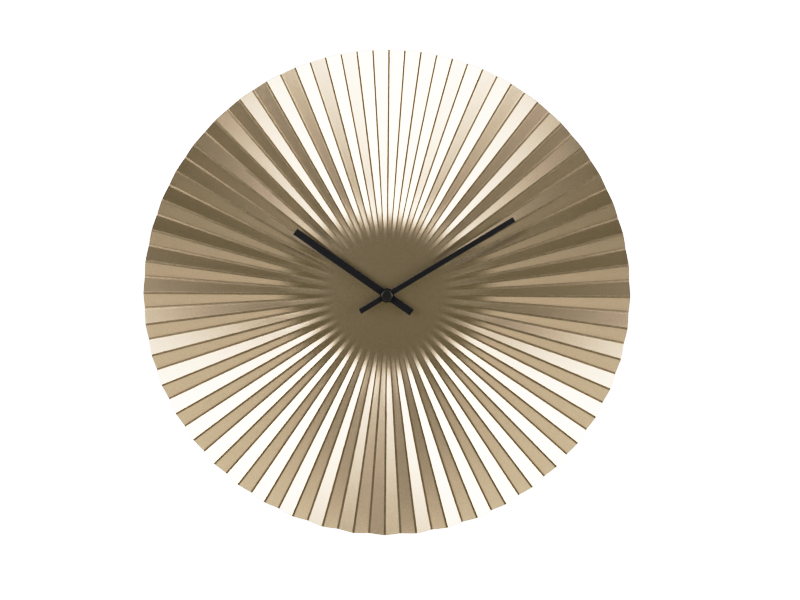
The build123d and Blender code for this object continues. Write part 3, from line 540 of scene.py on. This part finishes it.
def pleat_ring(radius, side):
    """One ring of the dial: its points and the painted shade at their folds. Side is 1 in front and -1
    behind.
    """
    half_pitch = radius * math.pi / PLEATS
    slope = FACET_SLOPE * pleat_rise(radius)
    stations = fold_stations(half_pitch)
    middle = (DIAL_FRONT + DIAL_BACK + side * DIAL_THICKNESS) / 2
    before_ridge = [(-u, u) for u in stations[:0:-1]]
    after_ridge = [(u, u) for u in stations[:-1]]
    points, marks = [], []
    for pleat in range(PLEATS):
        ridge = DIAL_CLOCKING + 2 * math.pi * pleat / PLEATS
        for offset, across in before_ridge + after_ridge:
            angle = ridge + offset / radius
            depth = middle + fold_height(across, half_pitch, slope)
            points.append((radius * math.sin(angle), -depth, radius * math.cos(angle)))
            # painted shade at the folds, fading in with the pleats
            marks.append(fold_shade_strength(across, half_pitch) * min(1.0, FOLD_SHADE_FADE_IN * pleat_rise(radius)))
    return points, marks


def make_dial(material):
    """The whole dial: one closed sheet, from the hole out to the rim in front and back in behind."""
    flat = [DIAL_HOLE_RADIUS, DIAL_HOLE_RADIUS + 0.2 * MM, 25 * MM, 45 * MM, 55 * MM]
    forming = [PLEAT_START + (PLEAT_FULL - PLEAT_START) * i / 16 for i in range(17)]
    formed = [125 * MM, 150 * MM, 175 * MM, 200 * MM, 225 * MM, 240 * MM]
    edge = 0.2 * MM
    radii = flat + forming + formed + [DIAL_RADIUS - 2.5 * edge, DIAL_RADIUS - edge]
    rings = [pleat_ring(radius, 1) for radius in radii]
    rings.append(pleat_ring(DIAL_RADIUS, 1 - 2 * edge / DIAL_THICKNESS))
    rings.append(pleat_ring(DIAL_RADIUS, 2 * edge / DIAL_THICKNESS - 1))
    rings += [pleat_ring(radius, -1) for radius in reversed(radii)]
    shape = grid_shape([points for points, _ in rings], closed=True)
    smooth_faces(shape)
    mesh = as_mesh("sunburst_dial", shape)
    # the painted shade along the folds, kept on the points for the gold paint
    fold = mesh.attributes.new("fold", "FLOAT", "POINT")
    fold.data.foreach_set("value", [mark for _, marks in rings for mark in marks])
    add_piece("sunburst_dial", mesh, "clock", material, "gold_dial", "pleated_dial")


# ---------------------------------------------------------------- hands and their fittings
def flat_plate(outline, hole, back, front):
    """A bmesh plate of a given depth, from its outline and a hole in it, both lists of (x, z)."""
    shape = bmesh.new()
    loops = [outline, hole] if hole else [outline]
    corners = [point for loop in loops for point in loop]
    triangles = tessellate_polygon([[Vector((x, z, 0)) for x, z in loop] for loop in loops])
    layers = [[shape.verts.new((x, -depth, z)) for x, z in corners] for depth in (front, back)]
    for layer in layers:
        for triangle in triangles:
            shape.faces.new([layer[i] for i in triangle])
    first = 0
    for loop in loops:
        for i in range(len(loop)):
            here, there = first + i, first + (i + 1) % len(loop)
            shape.faces.new((layers[0][here], layers[0][there], layers[1][there], layers[1][here]))
        first += len(loop)
    return shape


def around(place, radius, angle):
    """The (x, z) point at a radius and a clockwise angle from straight up, round another (x, z) point."""
    return place[0] + radius * math.sin(angle), place[1] + radius * math.cos(angle)


def circle_points(radius, segments=72):
    """A circle round the shaft, as (x, z) points."""
    return [around((0, 0), radius, 2 * math.pi * step / segments) for step in range(segments)]


def hand_outline(reach, tail, width, angle):
    """The outline of a hand: a straight bar with square ends, and the round eye it turns on."""
    half = width / 2
    meet = math.asin(half / EYE_RADIUS)
    steps = 24
    sweep = [meet + (math.pi - 2 * meet) * step / steps for step in range(steps + 1)]
    right = [around((0, 0), EYE_RADIUS, t) for t in sweep]
    left = [(-across, along) for across, along in reversed(right)]
    outline = [(-half, reach), (half, reach)] + right + [(half, -tail), (-half, -tail)] + left
    cos, sin = math.cos(angle), math.sin(angle)
    return [(across * cos + along * sin, along * cos - across * sin) for across, along in outline]


def make_hand(node, reach, tail, width, angle, body, material):
    """One stamped hand, its edges rounded by the press and its eye open where the collet's neck passes."""
    back, front = depths(node)
    neck = radius_of(f"{node}_collet") - COLLET_LIP[node]
    shape = flat_plate(hand_outline(reach, tail, width, angle), circle_points(neck), back, front)
    bmesh.ops.recalc_face_normals(shape, faces=shape.faces)
    smooth_faces(shape)
    piece = add_piece(f"{node}_stamped", as_mesh(node, shape), body, material, "black_hands", node)
    bevel(piece, HAND_EDGE)


def make_cap(material):
    """The cap nut: a small chamfer at its foot, a rounded shoulder, and a shallow dish in its top."""
    back, front = depths("cap_nut")
    radius = radius_of("cap_nut")
    chamfer, shoulder, dish = 0.1 * MM, 1.2 * MM, 0.16 * MM
    middle = 0.02 * MM  # nearly closed, on the axis
    steps = 8
    foot = [(back, middle), (back, radius - chamfer), (back + chamfer, radius), (back + 0.4 * MM, radius)]
    rim = []
    for step in range(steps + 1):
        angle = math.pi / 2 * step / steps
        rim.append((
            front - shoulder + shoulder * math.sin(angle), radius - shoulder + shoulder * math.cos(angle)
        ))
    top = [(front - 0.02 * MM, radius - 1.6 * MM), (front - 0.12 * MM, radius - 2.2 * MM)]
    floor = [(front - dish, radius * 0.35), (front - dish, middle)]
    shape = turned(SHAFT, foot + rim + top + floor, segments=96)
    mesh = clean_mesh("cap_nut", shape, sharp_angle=50)
    add_piece("cap_nut_turned", mesh, "minute_group", material, "black_hub", "cap_nut")


def make_washer(node, edge, material, slot):
    """A turned or moulded washer with rounded outer corners."""
    back, front = depths(node)
    profile = rounded_ring_profile(back, front, DIAL_HOLE_RADIUS, radius_of(node), edge)
    mesh = clean_mesh(node, turned(SHAFT, profile, closed=True, segments=96), sharp_angle=50)
    add_piece(f"{node}_ring", mesh, "clock", material, slot, node)


def make_nut(material):
    """The hex nut: six flats, corners cut back by the usual cone at both faces, and a countersunk bore."""
    back, front = depths("hex_nut")
    low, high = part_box("hex_nut")
    half_flats = min(high.x - low.x, high.z - low.z) / 2
    bore, sink = BUSHING_RADIUS, 0.35 * MM
    cone = math.tan(math.radians(30))
    cone_start = half_flats * 0.985
    segments = 96

    def hexagon(angle):
        """Distance from the axis to the flats, in a direction. The corners point along x."""
        return half_flats / math.cos((angle % (math.pi / 3)) - math.pi / 6)

    def front_cone(radius):
        """Depth of the front face, cut back towards the corners."""
        return front - max(0, radius - cone_start) * cone

    def back_cone(radius):
        """Depth of the back face, cut back in the same way."""
        return back + max(0, radius - cone_start) * cone

    def ring(depth_of, radius_at):
        """A ring of points, from its radius at each angle and its depth at each radius."""
        points = []
        for step in range(segments):
            angle = 2 * math.pi * step / segments
            radius = radius_at(angle)
            points.append((radius * math.cos(angle), -depth_of(radius), radius * math.sin(angle)))
        return points

    rings = [
        ring(lambda r: back, lambda a: bore + sink),
        ring(lambda r: back + sink, lambda a: bore),
        ring(lambda r: front - sink, lambda a: bore),
        ring(lambda r: front, lambda a: bore + sink),
        ring(lambda r: front, lambda a: cone_start),
        ring(front_cone, hexagon),
        ring(back_cone, hexagon),
        ring(lambda r: back, lambda a: cone_start),
    ]
    mesh = clean_mesh("hex_nut", grid_shape(rings, closed=True), sharp_angle=15)
    add_piece("hex_nut_chamfered", mesh, "clock", material, "brass_fittings", "hex_nut")


def make_bushing(material):
    """The threaded bushing: a flange inside the case, and a rolled thread all the way to its front."""
    back, front = depths("threaded_bushing")
    flange = radius_of("threaded_bushing")
    case_front = depths("front_case")[1]
    thread_depth, pitch, rows_per_turn = 0.3 * MM, 0.75 * MM, 8
    crest, bore = BUSHING_RADIUS - 0.02 * MM, BUSHING_BORE
    chamfer, countersink = 0.4 * MM, 0.15 * MM
    thread_start, thread_end = case_front + 0.2 * MM, front - chamfer
    segments = 48
    flange_front = back + BUSHING_FLANGE
    inside = [(back, bore), (back, flange), (flange_front, flange), (flange_front, crest)]
    rings = [round_ring(SHAFT, along, radius, segments=segments) for along, radius in inside]
    rows = int((thread_end - thread_start) / (pitch / rows_per_turn))
    for row in range(rows + 1):
        depth = thread_start + (thread_end - thread_start) * row / rows
        points = []
        for step in range(segments):
            turn = step / segments
            phase = (depth / pitch - turn) % 1.0
            groove = thread_depth * max(0.0, 1 - abs(phase - 0.5) / 0.4)
            run_in = min(1.0, (depth - thread_start) / pitch, (thread_end - depth) / pitch)
            radius = crest - groove * run_in
            angle = 2 * math.pi * turn
            points.append((radius * math.sin(angle), -depth, radius * math.cos(angle)))
        rings.append(points)
    mouth = [(front, crest - chamfer), (front, bore + countersink), (front - countersink, bore)]
    rings += [round_ring(SHAFT, along, radius, segments=segments) for along, radius in mouth]
    mesh = clean_mesh("threaded_bushing", grid_shape(rings, closed=True), sharp_angle=30)
    add_piece("bushing_thread", mesh, "clock", material, "brass_fittings", "threaded_bushing")


# ---------------------------------------------------------------- movement
def make_can(material):
    """The AA cell itself, turned in its own length: a can with a dished foot, a crimp and a contact nub."""
    low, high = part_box("battery_cell")
    radius = barrel_radius_of("battery_cell")
    start, end, shoulder = low.x, high.x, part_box("battery_wrap")[1].x
    wall, nub, middle = radius - 0.05 * MM, 2.75 * MM, 0.05 * MM
    base, rim, ledge = start + 0.25 * MM, shoulder - 0.1 * MM, shoulder - 0.5 * MM
    foot_profile = [
        (start, middle), (start, radius - 2.6 * MM), (base, radius - 2.2 * MM), (base, radius - 1.2 * MM),
        (start, radius - 0.8 * MM), (start + 0.1 * MM, radius - 0.2 * MM), (start + 0.4 * MM, wall),
    ]
    crimp_profile = [
        (shoulder - 3.2 * MM, wall), (shoulder - 2.8 * MM, radius - 0.55 * MM), (shoulder - 2.4 * MM, wall),
        (ledge, wall), (rim, radius - 0.4 * MM), (rim, radius - 0.9 * MM), (ledge, radius - 1.4 * MM),
    ]
    nub_profile = [
        (ledge, nub + 0.5 * MM), (shoulder - 0.3 * MM, nub), (end - 0.3 * MM, nub),
        (end - 0.08 * MM, nub - 0.25 * MM), (end, nub - 0.6 * MM), (end, middle),
    ]
    profile = foot_profile + crimp_profile + nub_profile
    shape = turned(centre_of("battery_cell"), profile, axis="X", segments=96)
    mesh = clean_mesh("battery_cell", shape, sharp_angle=50)
    add_piece("cell_can", mesh, "cell", material, "bright_steel", "battery_cell")


def make_sleeve(material):
    """The cell's shrunk sleeve, which dips into the crimp and turns in over both ends."""
    low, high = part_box("battery_wrap")
    start, end = low.x, high.x
    outer = barrel_radius_of("battery_wrap")
    inner = outer - WRAP_THICKNESS
    inner_start, inner_end = start + WRAP_THICKNESS, end - WRAP_THICKNESS
    lip = barrel_radius_of("battery_cell") - 1.1 * MM
    outside = [
        (start, lip), (start, outer - 0.7 * MM), (start + 0.2 * MM, outer - 0.2 * MM),
        (start + 0.7 * MM, outer), (end - 3.6 * MM, outer), (end - 2.8 * MM, outer - 0.3 * MM),
        (end - 2.0 * MM, outer), (end - 0.7 * MM, outer), (end - 0.15 * MM, outer - 0.3 * MM),
        (end, outer - 0.8 * MM), (end, lip),
    ]
    inside = [
        (inner_end, lip), (inner_end, outer - 0.9 * MM), (end - 0.8 * MM, inner), (start + 0.8 * MM, inner),
        (inner_start, outer - 0.9 * MM), (inner_start, lip),
    ]
    shape = turned(centre_of("battery_cell"), outside + inside, axis="X", closed=True, segments=96)
    mesh = clean_mesh("battery_wrap", shape, sharp_angle=60)
    add_piece("cell_wrap", mesh, "cell", material, "cell_wrap", "battery_wrap")


def make_winding(material):
    """The coil's outer layer, every turn of its enamelled wire as a rounded ring."""
    low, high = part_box("coil_winding")
    radius = barrel_radius_of("coil_winding")
    inner = radius * 0.6
    turns, steps = 49, 4
    pitch = (high.x - low.x) / turns
    wire_radius = pitch / 2
    profile = [(low.x, inner)]
    for turn in range(turns):
        for step in range(steps + 1):
            arc = math.pi * step / steps
            along = low.x + pitch * (turn + 0.5 - 0.5 * math.cos(arc))
            profile.append((along, radius - wire_radius + wire_radius * math.sin(arc)))
    profile.append((high.x, inner))
    shape = turned(centre_of("coil_winding"), profile, axis="X", closed=True, segments=48)
    mesh = clean_mesh("coil_winding", shape, sharp_angle=80)
    add_piece("coil_turns", mesh, "clock", material, "copper_wire", "coil_winding")


def arc_band(place, radius, width, start, end, steps=24):
    """The outline of an arc of a flat ring, with its angles in degrees."""
    angles = [math.radians(start + (end - start) * step / steps) for step in range(steps + 1)]
    outer = [around(place, radius + width / 2, angle) for angle in angles]
    inner = [around(place, radius - width / 2, angle) for angle in angles]
    return outer + inner[::-1]


def arrow_head(place, radius, angle, length, sense):
    """The outline of an arrow head at the end of an arc, pointing along it."""
    foot, tip = math.radians(angle), math.radians(angle + sense * math.degrees(length / radius))
    corners = ((radius - length * 0.55, foot), (radius + length * 0.55, foot), (radius, tip))
    return [around(place, corner_radius, turn) for corner_radius, turn in corners]


def bar(x, z, width, height):
    """The outline of a rectangle by its middle and size."""
    return [(x + sx * width / 2, z + sz * height / 2) for sx, sz in ((-1, -1), (1, -1), (1, 1), (-1, 1))]


def cover_marks():
    """The outlines of the rear cover's marks: setting arrows, battery poles, date ticks and grip ribs."""
    knob = centre_of("setting_knob")
    knob_place = (knob.x, knob.z)
    outlines = []
    for sense in (-1, 1):
        start, end = sense * ARROW_START, sense * ARROW_END
        outlines.append(arc_band(knob_place, ARROW_RADIUS, ARROW_LINE, start, end))
        outlines.append(arrow_head(knob_place, ARROW_RADIUS, end, ARROW_HEAD, sense))

    # The plus is its level bar and two stubs, which stay clear of the bar.
    pole_z = WELL_TOP + POLE_ABOVE_WELL
    stub_offset, stub_length = POLE_SIZE * 0.31, POLE_SIZE * 0.38
    outlines.append(bar(POLE_X, pole_z, POLE_SIZE, MARK_LINE))
    for side in (-1, 1):
        outlines.append(bar(POLE_X, pole_z + side * stub_offset, MARK_LINE, stub_length))
    outlines.append(bar(-POLE_X, pole_z, POLE_SIZE, MARK_LINE))

    near, far = DATE_RADIUS * 0.62, DATE_RADIUS * 0.86
    at_near, at_far = 0.08, 0.05  # half the width of a tick, as an angle
    for tick in range(12):
        turn = 2 * math.pi * tick / 12
        corners = ((near, turn - at_near), (far, turn - at_far), (far, turn + at_far), (near, turn + at_near))
        outlines.append([around(DATE_PLACE, radius, angle) for radius, angle in corners])
    for rib in range(GRIP_RIBS):
        outlines.append(bar(GRIP_X, GRIP_LOWEST + GRIP_PITCH * rib, GRIP_LENGTH, MARK_LINE))
    return outlines


def mark_cutters():
    """A mesh of everything that is cut into the rear cover, from just behind it to the marks' depth."""
    outside = -0.5 * MM
    shapes = [flat_plate(outline, None, outside, MARK_DEPTH) for outline in cover_marks()]
    groove = [
        (outside, DATE_RADIUS), (MARK_DEPTH, DATE_RADIUS),
        (MARK_DEPTH, DATE_RADIUS + DATE_RIM), (outside, DATE_RADIUS + DATE_RIM),
    ]
    date_x, date_z = DATE_PLACE
    shapes.append(turned(Vector((date_x, 0, date_z)), groove, closed=True, segments=48))
    cutters = bmesh.new()
    for shape in shapes:
        bmesh.ops.recalc_face_normals(shape, faces=shape.faces)
        mark = as_mesh("mark", shape)
        cutters.from_mesh(mark)
        bpy.data.meshes.remove(mark)
    return as_mesh("marks", cutters)


def make_rear_cover(material):
    """The rear cover, with its marks engraved into a copy of the CAD node."""
    cutter = bpy.data.objects.new("marks", mark_cutters())
    blank = bpy.data.objects.new("blank", nodes["rear_cover"].data.copy())
    for helper in (cutter, blank):
        bpy.context.scene.collection.objects.link(helper)
    add_weld(blank)
    cut = blank.modifiers.new("cut", "BOOLEAN")
    cut.operation, cut.solver, cut.object = "DIFFERENCE", "MANIFOLD", cutter
    engraved = baked(blank)
    for helper in (cutter, blank):
        bpy.data.objects.remove(helper)
    engraved.materials.clear()
    shape = bmesh.new()
    shape.from_mesh(engraved)
    mesh = clean_mesh("rear_cover", shape, sharp_angle=30)
    add_piece("rear_cover_marked", mesh, "clock", material, "black_case", "rear_cover")


# ---------------------------------------------------------------- studio
def area_light(name, place, target, width, height, radiance):
    """A soft light of even radiance that the camera doesn't see."""
    light = bpy.data.lights.new(name, "AREA")
    light.shape = "RECTANGLE"
    light.size, light.size_y = width, height
    light.energy = radiance * math.pi * width * height
    lamp = bpy.data.objects.new(name, light)
    bpy.context.scene.collection.objects.link(lamp)
    lamp.location = place
    lamp.rotation_euler = (Vector(target) - Vector(place)).to_track_quat("-Z", "Y").to_euler()
    lamp.visible_camera = False


def make_world():
    """White behind the clock, and a dim room for it to reflect."""
    world = bpy.data.worlds.new("studio")
    bpy.context.scene.world = world
    world.use_nodes = True
    tree = world.node_tree
    background = tree.nodes["Background"]
    path = add_node(tree, "ShaderNodeLightPath")
    mix = add_node(tree, "ShaderNodeMix", data_type="RGBA")
    mix.inputs["A"].default_value = ROOM_COLOUR
    mix.inputs["B"].default_value = (WHITE_LEVEL, WHITE_LEVEL, WHITE_LEVEL, 1)
    tree.links.new(path.outputs["Is Camera Ray"], mix.inputs["Factor"])
    tree.links.new(mix.outputs["Result"], background.inputs["Color"])


def make_floor():
    """A plain pale table below the clock, just out of the picture, which glows with painted light of its own,
    brighter at its right end.
    """
    material, tree, shader = new_material(
        "pale_floor", Base_Color=(0.8, 0.795, 0.73, 1), Roughness=0.6,
        Emission_Color=(1, 1, 0.9, 1),
    )
    bump(tree, shader, noise(tree, 60), 0.2 * MM)
    position = add_node(tree, "ShaderNodeSeparateXYZ")
    tree.links.new(place_in_object(tree), position.inputs["Vector"])
    # painted glow: the floor gives off light, less at its left end than at its right
    glow = spread(tree, position.outputs["X"], *FLOOR_GLOW, -FLOOR_HALF_WIDTH, FLOOR_HALF_WIDTH)
    tree.links.new(glow, shader.inputs["Emission Strength"])
    corners = [
        (-FLOOR_HALF_WIDTH, FLOOR_FRONT[0], FLOOR_HEIGHT), (FLOOR_HALF_WIDTH, FLOOR_FRONT[1], FLOOR_HEIGHT),
        (FLOOR_HALF_WIDTH, FLOOR_BACK, FLOOR_HEIGHT), (-FLOOR_HALF_WIDTH, FLOOR_BACK, FLOOR_HEIGHT),
    ]
    mesh = bpy.data.meshes.new("floor")
    mesh.from_pydata(corners, [], [(0, 1, 2, 3)])
    mesh.materials.append(material)
    floor = bpy.data.objects.new("floor", mesh)
    bpy.context.scene.collection.objects.link(floor)


def set_tone():
    """Film-like highlights: the brightest reflections roll off softly to white."""
    view = bpy.context.scene.view_settings
    view.view_transform = "Standard"
    view.use_curve_mapping = True
    mapping = view.curve_mapping
    mapping.white_level = (WHITE_LEVEL, WHITE_LEVEL, WHITE_LEVEL)
    combined = mapping.curves[3]
    for scene_value, shown in TONE_POINTS:
        combined.points.new(scene_value / WHITE_LEVEL, shown)
    mapping.update()


def make_camera():
    """A long lens nearly square to the dial, a little above it."""
    data = bpy.data.cameras.new("camera")
    camera = bpy.data.objects.new("camera", data)
    bpy.context.scene.collection.objects.link(camera)
    bpy.context.scene.camera = camera
    elevation = math.radians(CAMERA_ELEVATION)
    target = Vector((0, -DIAL_FRONT, 0))
    camera.location = target + CAMERA_DISTANCE * Vector((0, -math.cos(elevation), math.sin(elevation)))
    camera.rotation_euler = (target - camera.location).to_track_quat("-Z", "Y").to_euler()
    data.sensor_width = SENSOR_WIDTH
    data.lens = SENSOR_WIDTH * CAMERA_DISTANCE * DIAL_WIDTH_IN_FRAME / (2 * DIAL_RADIUS)
    data.shift_x, data.shift_y = FRAMING_SHIFT
    data.clip_start, data.clip_end = 0.1, 20


def make_lights():
    """Two tall soft boxes in front, their feet further out than their tops, and two weak fills behind."""
    for side in (-1, 1):
        width = SOFTBOX_OUTER - SOFTBOX_INNER[side]
        x = side * (SOFTBOX_OUTER - width / 2)
        foot = Vector((x, SOFTBOX_FOOT_Y[side], SOFTBOX_LOW[side]))
        rise = Vector((x, SOFTBOX_Y, SOFTBOX_TOP)) - foot
        middle = foot + rise / 2
        target = middle + Vector((0, rise.z, -rise.y))  # straight out from the box's face
        area_light(f"softbox_{side}", middle, target, width, rise.length, SOFTBOX_RADIANCE)
        place = (side * FILL_X, FILL_Y, FILL_HEIGHT)
        area_light(f"back_fill_{side}", place, (0, 0, 0), FILL_SIZE, FILL_SIZE, FILL_RADIANCE)


make_camera()
make_world()
make_floor()
make_lights()
set_tone()

make_dial(gold_paint())
hand_black = black_paint()
make_hand("hour_hand", HOUR_REACH, HOUR_TAIL, HOUR_WIDTH, HOUR_ANGLE, "hour_group", hand_black)
make_hand("minute_hand", MINUTE_REACH, MINUTE_TAIL, MINUTE_WIDTH, MINUTE_ANGLE, "minute_group", hand_black)
make_cap(mottled(
    "hub_black", (0.005, 0.005, 0.006), (0.009, 0.009, 0.011), 1600, (0.25, 0.34), 0.004 * MM,
    wear=(0.03, 0.03, 0.035), Specular_IOR_Level=0.5,
))

brass = turned_metal("brass", (0.56, 0.42, 0.2), (0.72, 0.57, 0.31), (0.22, 0.36))
make_washer("brass_washer", 0.12 * MM, brass, "brass_fittings")
rubber = mottled(
    "rubber", (0.012, 0.012, 0.012), (0.03, 0.03, 0.029), 900, (0.6, 0.8), 0.02 * MM,
    wear=(0.06, 0.06, 0.058),
)
make_washer("rubber_washer", 0.25 * MM, rubber, "rubber_seal")
make_nut(brass)
make_bushing(brass)
cell_steel = turned_metal("cell_steel", (0.5, 0.5, 0.5), (0.68, 0.68, 0.67), (0.15, 0.3), axis="X")
make_can(cell_steel)
make_sleeve(shrink_wrap())
make_winding(mottled(
    "copper_enamel", (0.5, 0.16, 0.05), (0.72, 0.28, 0.1), 1200, (0.18, 0.3), 0.003 * MM,
    Metallic=1.0, Coat_Weight=0.8, Coat_Roughness=0.1,
))
case_black = moulded_plastic(
    "case_black", (0.014, 0.014, 0.015), (0.02, 0.02, 0.021), 1500, (0.42, 0.6), 0.03 * MM, edge=0.3 * MM
)
make_rear_cover(case_black)

white_acetal = moulded_plastic(
    "white_acetal", (0.7, 0.69, 0.64), (0.8, 0.79, 0.75), 900, (0.28, 0.4), 0.006 * MM, edge=0.05 * MM,
    Subsurface_Weight=0.15, Subsurface_Radius=(0.001, 0.001, 0.001),
)
bright_steel = rolled_steel("bright_steel", (0.55, 0.55, 0.54), (0.7, 0.7, 0.69), (0.18, 0.36), "Z")
FINISHES = {  # of the CAD nodes whose shape is already right
    "hour_hand_collet": brass,
    "minute_hand_collet": brass,
    "cannon_pinion": brass,
    "hanger_bracket": zinc_plate(),
    "front_case": case_black,
    "middle_plate": moulded_plastic(
        "plate_grey", (0.3, 0.31, 0.32), (0.36, 0.37, 0.38), 1100, (0.4, 0.55), 0.015 * MM
    ),
    "setting_knob": moulded_plastic(
        "knob_red", (0.36, 0.012, 0.01), (0.46, 0.02, 0.016), 1100, (0.3, 0.42), 0.01 * MM, edge=0.1 * MM,
        Subsurface_Weight=0.1, Subsurface_Radius=(0.002, 0.0005, 0.0005),
    ),
    "circuit_board": circuit_lacquer(),
    "chip_blob": mottled(
        "chip_resin", (0.008, 0.008, 0.009), (0.016, 0.016, 0.017), 500, (0.16, 0.32), 0.01 * MM,
        Coat_Weight=0.5, Coat_Roughness=0.1,
    ),
    "quartz_crystal": bright_steel,
    "positive_contact": bright_steel,
    "negative_contact": bright_steel,
    "clutch_spring": bright_steel,
    "stator": rolled_steel("motor_iron", (0.3, 0.3, 0.31), (0.42, 0.42, 0.42), (0.3, 0.5), "X"),
    "rotor_magnet": mottled(
        "magnet_black", (0.05, 0.05, 0.055), (0.09, 0.09, 0.095), 1500, (0.3, 0.5), 0.01 * MM, Metallic=0.6
    ),
}
FINISHES["coil_bobbin"] = FINISHES["middle_plate"]
FINISHES["coil_core"] = FINISHES["stator"]
screw_zinc = rolled_steel("screw_zinc", (0.5, 0.5, 0.48), (0.66, 0.65, 0.62), (0.22, 0.4), "Y")
for name in ("plate_screws", "cover_screws"):
    FINISHES[name] = screw_zinc
wheels = [name for name in nodes if name.endswith("_wheel")]
for name in wheels + ["rotor_pinion"]:
    FINISHES[name] = white_acetal
for name, material in FINISHES.items():
    nodes[name].data.materials.clear()
    nodes[name].data.materials.append(material)
